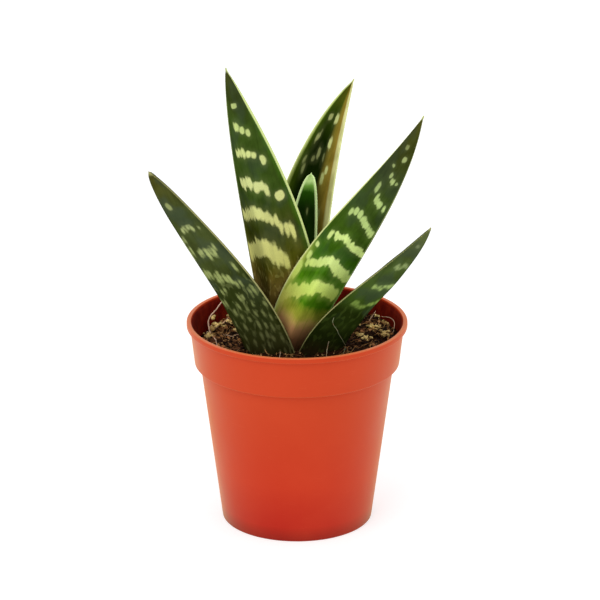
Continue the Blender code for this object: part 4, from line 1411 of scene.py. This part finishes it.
def leaf_paint(leaf, looks):
    """Waxy leaf skin: its own greens from base to tip, pale marks, horny margin and long fine veins."""
    paint = Paint(leaf.name + "_skin", 0.52, 0.0)
    flat = paint.attribute("flat", "Vector")
    along = paint.attribute("along")
    across = paint.attribute("across")
    streak = paint.noise((1.5, 0.05, 1.0), 3.0, 0.6, flat)
    cloud = paint.noise((0.16, 0.09, 1.0), 3.0, 0.55, flat)
    ragged = paint.noise((1.1, 0.5, 1.0), 2.0, 0.5, flat)
    fine = paint.noise((4.0, 1.6, 1.0), 3.0, 0.6, flat)

    skin = paint.ramp(along + (streak - 0.5) * 0.03 + (cloud - 0.5) * 0.06, leaf.ground)
    if leaf.edge_tint:
        stops = [((place + 1) / 2, *rest) for place, *rest in leaf.edge_tint]
        position = (across + 1.0) * 0.5
        where = paint.ramp(position, stops, "Alpha")
        where = where * paint.span(paint.attribute("face"), 0.4, 0.6, 1.0 - leaf.tint_face, leaf.tint_face)
        where = where * paint.span(along, leaf.tint_end - 0.15, leaf.tint_end, 1.0, 0.0)
        skin = paint.mix(where, skin, paint.ramp(position, stops))
    skin = paint.mix(paint.span(cloud, 0.35, 0.7, 0.0, 0.6), skin, (176, 176, 150), "MULTIPLY")
    skin = paint.mix(paint.span(streak, 0.45, 0.75, 0.0, 0.5), skin, (190, 200, 170), "MULTIPLY")
    patch = paint.span(paint.noise((0.14, 0.07, 1.0), 2.0, 0.5, flat), 0.45, 0.62, 0.0, leaf.slate)
    skin = paint.mix(patch * paint.span(along, 0.25, 0.45), skin, SLATE)

    slit = paint.noise((0.95, 0.16, 1.0), 0.0, 0.5, flat)
    mark = paint.attribute("mark") + (slit * 0.5 + ragged * 0.5 - 0.46)
    pale = paint.ramp(along, leaf.marks)
    pale = paint.mix(paint.span(fine, 0.4, 0.8, 0.0, 0.5), pale, (205, 205, 160), "MULTIPLY")
    # Painted light: the marks are painted brighter on one flank, by the leaf's lit values
    pale = paint.mix(1.0, pale, paint.span(across, -0.4, 0.1, *leaf.lit), "MULTIPLY")
    edge = looks.mark_edge * leaf.soften
    shown = paint.span(mark, -edge / 2, edge) * paint.attribute("tone")
    glow = paint.span(mark, -1.1, 0.1) * paint.span(along, 0.2, 0.42, leaf.glow, 0.04)
    shown = paint.math("MAXIMUM", shown, glow)
    strength, end = leaf.flecks
    fleck = paint.span(paint.noise((1.0, 0.26, 1.0), 0.0, 0.5, flat), 0.57, 0.66, 0.0, strength)
    shown = paint.math("MAXIMUM", shown, fleck * paint.span(along, end, end + 0.2, 1.0, 0.0))
    skin = paint.mix(shown, skin, pale)

    rim = paint.attribute("rim") + (fine - 0.5) * 0.3
    horn = paint.span(rim, -leaf.horn_back - 0.35, -leaf.horn_back)
    horn = horn * paint.span(rim, leaf.horn_upper + 0.45, leaf.horn_upper)
    horn = horn * paint.span(along, 0.02, 0.2, 0.35, 0.95)
    horn = horn * paint.span(across, -0.1, 0.1, *leaf.horn_sides)
    horn = horn * paint.span(along, 0.45, 0.9, 1.0, leaf.horn_fade)
    skin = paint.mix(horn, skin, leaf.horn)
    skin = paint.mix(paint.span(along, 0.985, 1.0, 0.0, 0.6), skin, leaf.horn)

    rough = paint.span(fine, 0.3, 0.7, 0.44, 0.54) + shown * 0.06
    normal = paint.bump(fine, 0.12, 0.1 * MM, paint.bump(streak, 0.1, 0.3 * MM))
    return paint.coat(Base_Color=skin, Roughness=rough, Normal=normal)


def tooth_tree():
    """Sets fine horny teeth along margin lines, each pointing outwards and to the tip."""
    nodes, given = new_tree("margin_teeth", {
        "Spacing": 1.2 * MM, "Height": 0.5 * MM, "Base Radius": 0.3 * MM, "Seed": 1, "Material": None,
    })
    outward = nodes.add("GeometryNodeInputNamedAttribute", {"Name": "outward"}, data_type="FLOAT_VECTOR")
    teeth = nodes.add("GeometryNodeInstanceOnPoints", {
        "Points": nodes.even_curve(given["Geometry"], given["Spacing"]),
        "Instance": nodes.add("GeometryNodeMeshCone", {
            "Vertices": 6, "Radius Top": 0.0, "Radius Bottom": given["Base Radius"], "Depth": given["Height"],
        }),
        "Rotation": nodes.add("FunctionNodeAlignRotationToVector", {"Vector": outward}, axis="Z"),
        "Scale": nodes.draw(0.6, 1.15, given["Seed"]),
    })
    return close_tree(nodes, given, teeth, False)


def margin_lines(leaf, lines):
    """A mesh of the leaf's two margin lines, with the direction that the teeth stand in."""
    vertices = []
    edges = []
    outward = []
    shown = (lines.share > TOOTH_ENDS[0]) & (lines.share < TOOTH_ENDS[1])
    rise = leaf.fold * lines.half_width
    edge = np.minimum(MARGIN, rise + leaf.keel * lines.half_width + LEAST_DEPTH)
    for sign in (-1.0, 1.0):
        reach = (lines.half_width - TOOTH_SINK)[:, None]
        line = lines.middle + sign * lines.side * reach + lines.upper * (rise - edge / 2)[:, None]
        start = len(vertices)
        vertices += (line[shown] * MM).tolist()
        edges += [(i, i + 1) for i in range(start, len(vertices) - 1)]
        outward += unit(sign * lines.side + TOOTH_RAKE * lines.along)[shown].tolist()
    mesh = new_mesh(leaf.name + "_margin_lines", vertices, edges)
    add_values(mesh, "outward", outward, "FLOAT_VECTOR", "vector")
    return mesh


def horn_paint(leaf):
    paint = Paint(leaf.name + "_horn", 0.5, 0.2)
    spread = paint.span(paint.noise(1400.0, 2.0, 0.5), 0.3, 0.7)
    return paint.coat(Base_Color=paint.mix(spread, leaf.horn, (225, 215, 180), "MULTIPLY"))


class LeafLooks(bpy.types.PropertyGroup):
    station_step: length_setting("Station Step", "Distance between a leaf's sections", 0.65, 0.3, 5)
    mark_edge: number_setting("Mark Edge", "Softness of the marks' outlines, in millimetres", 0.34, 0.05, 2.0)
    tooth_spacing: length_setting("Tooth Spacing", "Distance between margin teeth", 1.3, 0.5, 10)
    tooth_height: length_setting("Tooth Height", "How far a margin tooth stands out", 0.36, 0.1, 3)
    seed: count_setting("Seed", "Draw of the marks", 20, 0, 999)


class ALOE_OT_leaves(bpy.types.Operator):
    """Grow the keeled leaves with their pale cross rows, and the fine teeth on their margins"""

    bl_idname = "aloe.leaves"
    bl_label = "Leaves"

    def execute(self, context):
        looks = context.scene.aloe_leaves
        tree = tooth_tree()
        for place, leaf in enumerate(LEAVES):
            lines = leaf_lines(leaf, looks.station_step / MM)
            mesh = leaf_skin_mesh(leaf, lines, looks.seed + 10 * place)
            mesh.materials.append(leaf_paint(leaf, looks))
            seat(new_piece(leaf.name + "_skin", mesh), "leaf_flesh", leaf.name)
            seat(run_on_mesh(leaf.name + "_teeth", margin_lines(leaf, lines), tree, {
                "Spacing": looks.tooth_spacing, "Height": looks.tooth_height, "Seed": looks.seed + place,
                "Base Radius": 0.2 * looks.tooth_spacing, "Material": horn_paint(leaf),
            }), "leaf_flesh")
        return {"FINISHED"}


def bark_paint():
    paint = Paint("stem_bark", 0.85, 0.3)
    rings = paint.noise((220.0, 220.0, 1500.0), 4.0, 0.6)
    tone = paint.mix(paint.span(rings, 0.35, 0.7), DRY_BROWN, TAN)
    return paint.coat(Base_Color=tone, Normal=paint.bump(rings, 0.6, 0.5 * MM))


class ALOE_OT_stem(bpy.types.Operator):
    """Give the stem its dry, ringed bark"""

    bl_idname = "aloe.stem"
    bl_label = "Stem"

    def execute(self, context):
        material = bark_paint()
        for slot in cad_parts["stem"].material_slots:
            slot.material = material
        return {"FINISHED"}


class StageLooks(bpy.types.PropertyGroup):
    floor: colour_setting("Floor", "Colour of the plain floor", (200, 200, 200))
    elevation: number_setting(
        "Elevation", "Height of the camera over the horizon", math.radians(20), 0.0, math.radians(80),
        subtype="ANGLE", unit="ROTATION",
    )
    distance: length_setting("Distance", "From the camera to the plant", 1500, 500, 5000)
    room_light: number_setting("Room Light", "Strength of the even white light", 0.98, 0.0, 5.0)
    key_light: power_setting("Key Light", "Power of the large lamp at the upper left", 6.0)
    fill_light: power_setting("Fill Light", "Power of the lamp at the right", 0.6)


CAMERA_TARGET = Vector((0.0012, 0.0, 0.0936))
SENSOR_WIDTH = 36.0  # millimetres
FOCAL_LENGTH = 221.4  # millimetres
FLOOR_RADIUS = 4.0
FLOOR_DEPTH = 0.02
FLOOR_SINK = 0.02 * MM  # below the pot's foot
FLOOR_SEGMENTS = 96
FLOOR_GLOW = 0.54
KEY_PLACE = Vector((-0.6, -0.95, 1.2))
KEY_SIZE = 0.9
FILL_PLACE = Vector((1.1, -0.5, 0.6))
FILL_SIZE = 0.8
WHITE = (255, 255, 255)


def aimed(thing, place, target):
    thing.location = place
    thing.rotation_euler = (target - place).to_track_quat("-Z", "Y").to_euler()


def add_softbox(name, place, size, power):
    lamp = bpy.data.lights.new(name, "AREA")
    lamp.size = size
    lamp.energy = power
    aimed(new_piece(name, lamp), place, CAMERA_TARGET)


class ALOE_OT_stage(bpy.types.Operator):
    """Set the plain pale floor, the soft lights and the camera"""

    bl_idname = "aloe.stage"
    bl_label = "Stage"

    def execute(self, context):
        looks = context.scene.aloe_stage
        scene = context.scene
        profile = [(0.0, 0.0), (FLOOR_RADIUS, 0.0), (FLOOR_RADIUS, -FLOOR_DEPTH), (0.0, -FLOOR_DEPTH)]
        floor = new_piece("pale_floor", turned_mesh("pale_floor", profile, FLOOR_SEGMENTS))
        floor.location.z = -FLOOR_SINK
        paint = Paint("floor_paper", 0.85, 0.2)
        grain = paint.span(paint.noise(30.0, 2.0, 0.5), 0.3, 0.7, 0.0, 0.04)
        tone = paint.mix(grain, (*looks.floor, 1.0), (194, 194, 194))
        paint.coat(Base_Color=tone, Emission_Color=WHITE, Emission_Strength=FLOOR_GLOW)
        floor.data.materials.append(paint.material)

        world = bpy.data.worlds.new("studio")
        world.use_nodes = True
        backing = world.node_tree.nodes["Background"]
        backing.inputs["Color"].default_value = linear(WHITE)
        backing.inputs["Strength"].default_value = looks.room_light
        scene.world = world
        add_softbox("key_softbox", KEY_PLACE, KEY_SIZE, looks.key_light)
        add_softbox("fill_softbox", FILL_PLACE, FILL_SIZE, looks.fill_light)

        camera = new_piece("camera", bpy.data.cameras.new("camera"))
        camera.data.sensor_fit = "HORIZONTAL"
        camera.data.sensor_width = SENSOR_WIDTH
        camera.data.lens = FOCAL_LENGTH
        back = Vector((0.0, -math.cos(looks.elevation), math.sin(looks.elevation)))
        aimed(camera, CAMERA_TARGET + back * looks.distance, CAMERA_TARGET)
        scene.camera = camera
        scene.view_settings.view_transform = "Standard"
        return {"FINISHED"}


OPERATORS = (ALOE_OT_pot, ALOE_OT_soil, ALOE_OT_roots, ALOE_OT_stem, ALOE_OT_leaves, ALOE_OT_stage)
LOOKS = (
    ("aloe_pot", PotLooks), ("aloe_soil", SoilLooks), ("aloe_roots", RootLooks),
    ("aloe_leaves", LeafLooks), ("aloe_stage", StageLooks),
)


class ALOE_PT_panel(bpy.types.Panel):
    """Lists the pieces of the potted aloe and what can be changed on them"""

    bl_label = "Potted Tiger Aloe"
    bl_idname = "ALOE_PT_panel"
    bl_space_type = "VIEW_3D"
    bl_region_type = "UI"
    bl_category = "Aloe"

    def draw(self, context):
        for operator in OPERATORS:
            self.layout.operator(operator.bl_idname)
        for name, kind in LOOKS:
            box = self.layout.box()
            for key in kind.__annotations__:
                box.prop(getattr(context.scene, name), key)


def register():
    for name, kind in LOOKS:
        bpy.utils.register_class(kind)
        setattr(bpy.types.Scene, name, bpy.props.PointerProperty(type=kind))
    for kind in (*OPERATORS, ALOE_PT_panel):
        bpy.utils.register_class(kind)


def unregister():
    for kind in (ALOE_PT_panel, *reversed(OPERATORS)):
        bpy.utils.unregister_class(kind)
    for name, kind in reversed(LOOKS):
        delattr(bpy.types.Scene, name)
        bpy.utils.unregister_class(kind)


def main():
    register()
    bpy.ops.aloe.pot()
    bpy.ops.aloe.soil()
    bpy.ops.aloe.roots()
    bpy.ops.aloe.stem()
    bpy.ops.aloe.leaves()
    bpy.ops.aloe.stage()


if __name__ == "__main__":
    main()
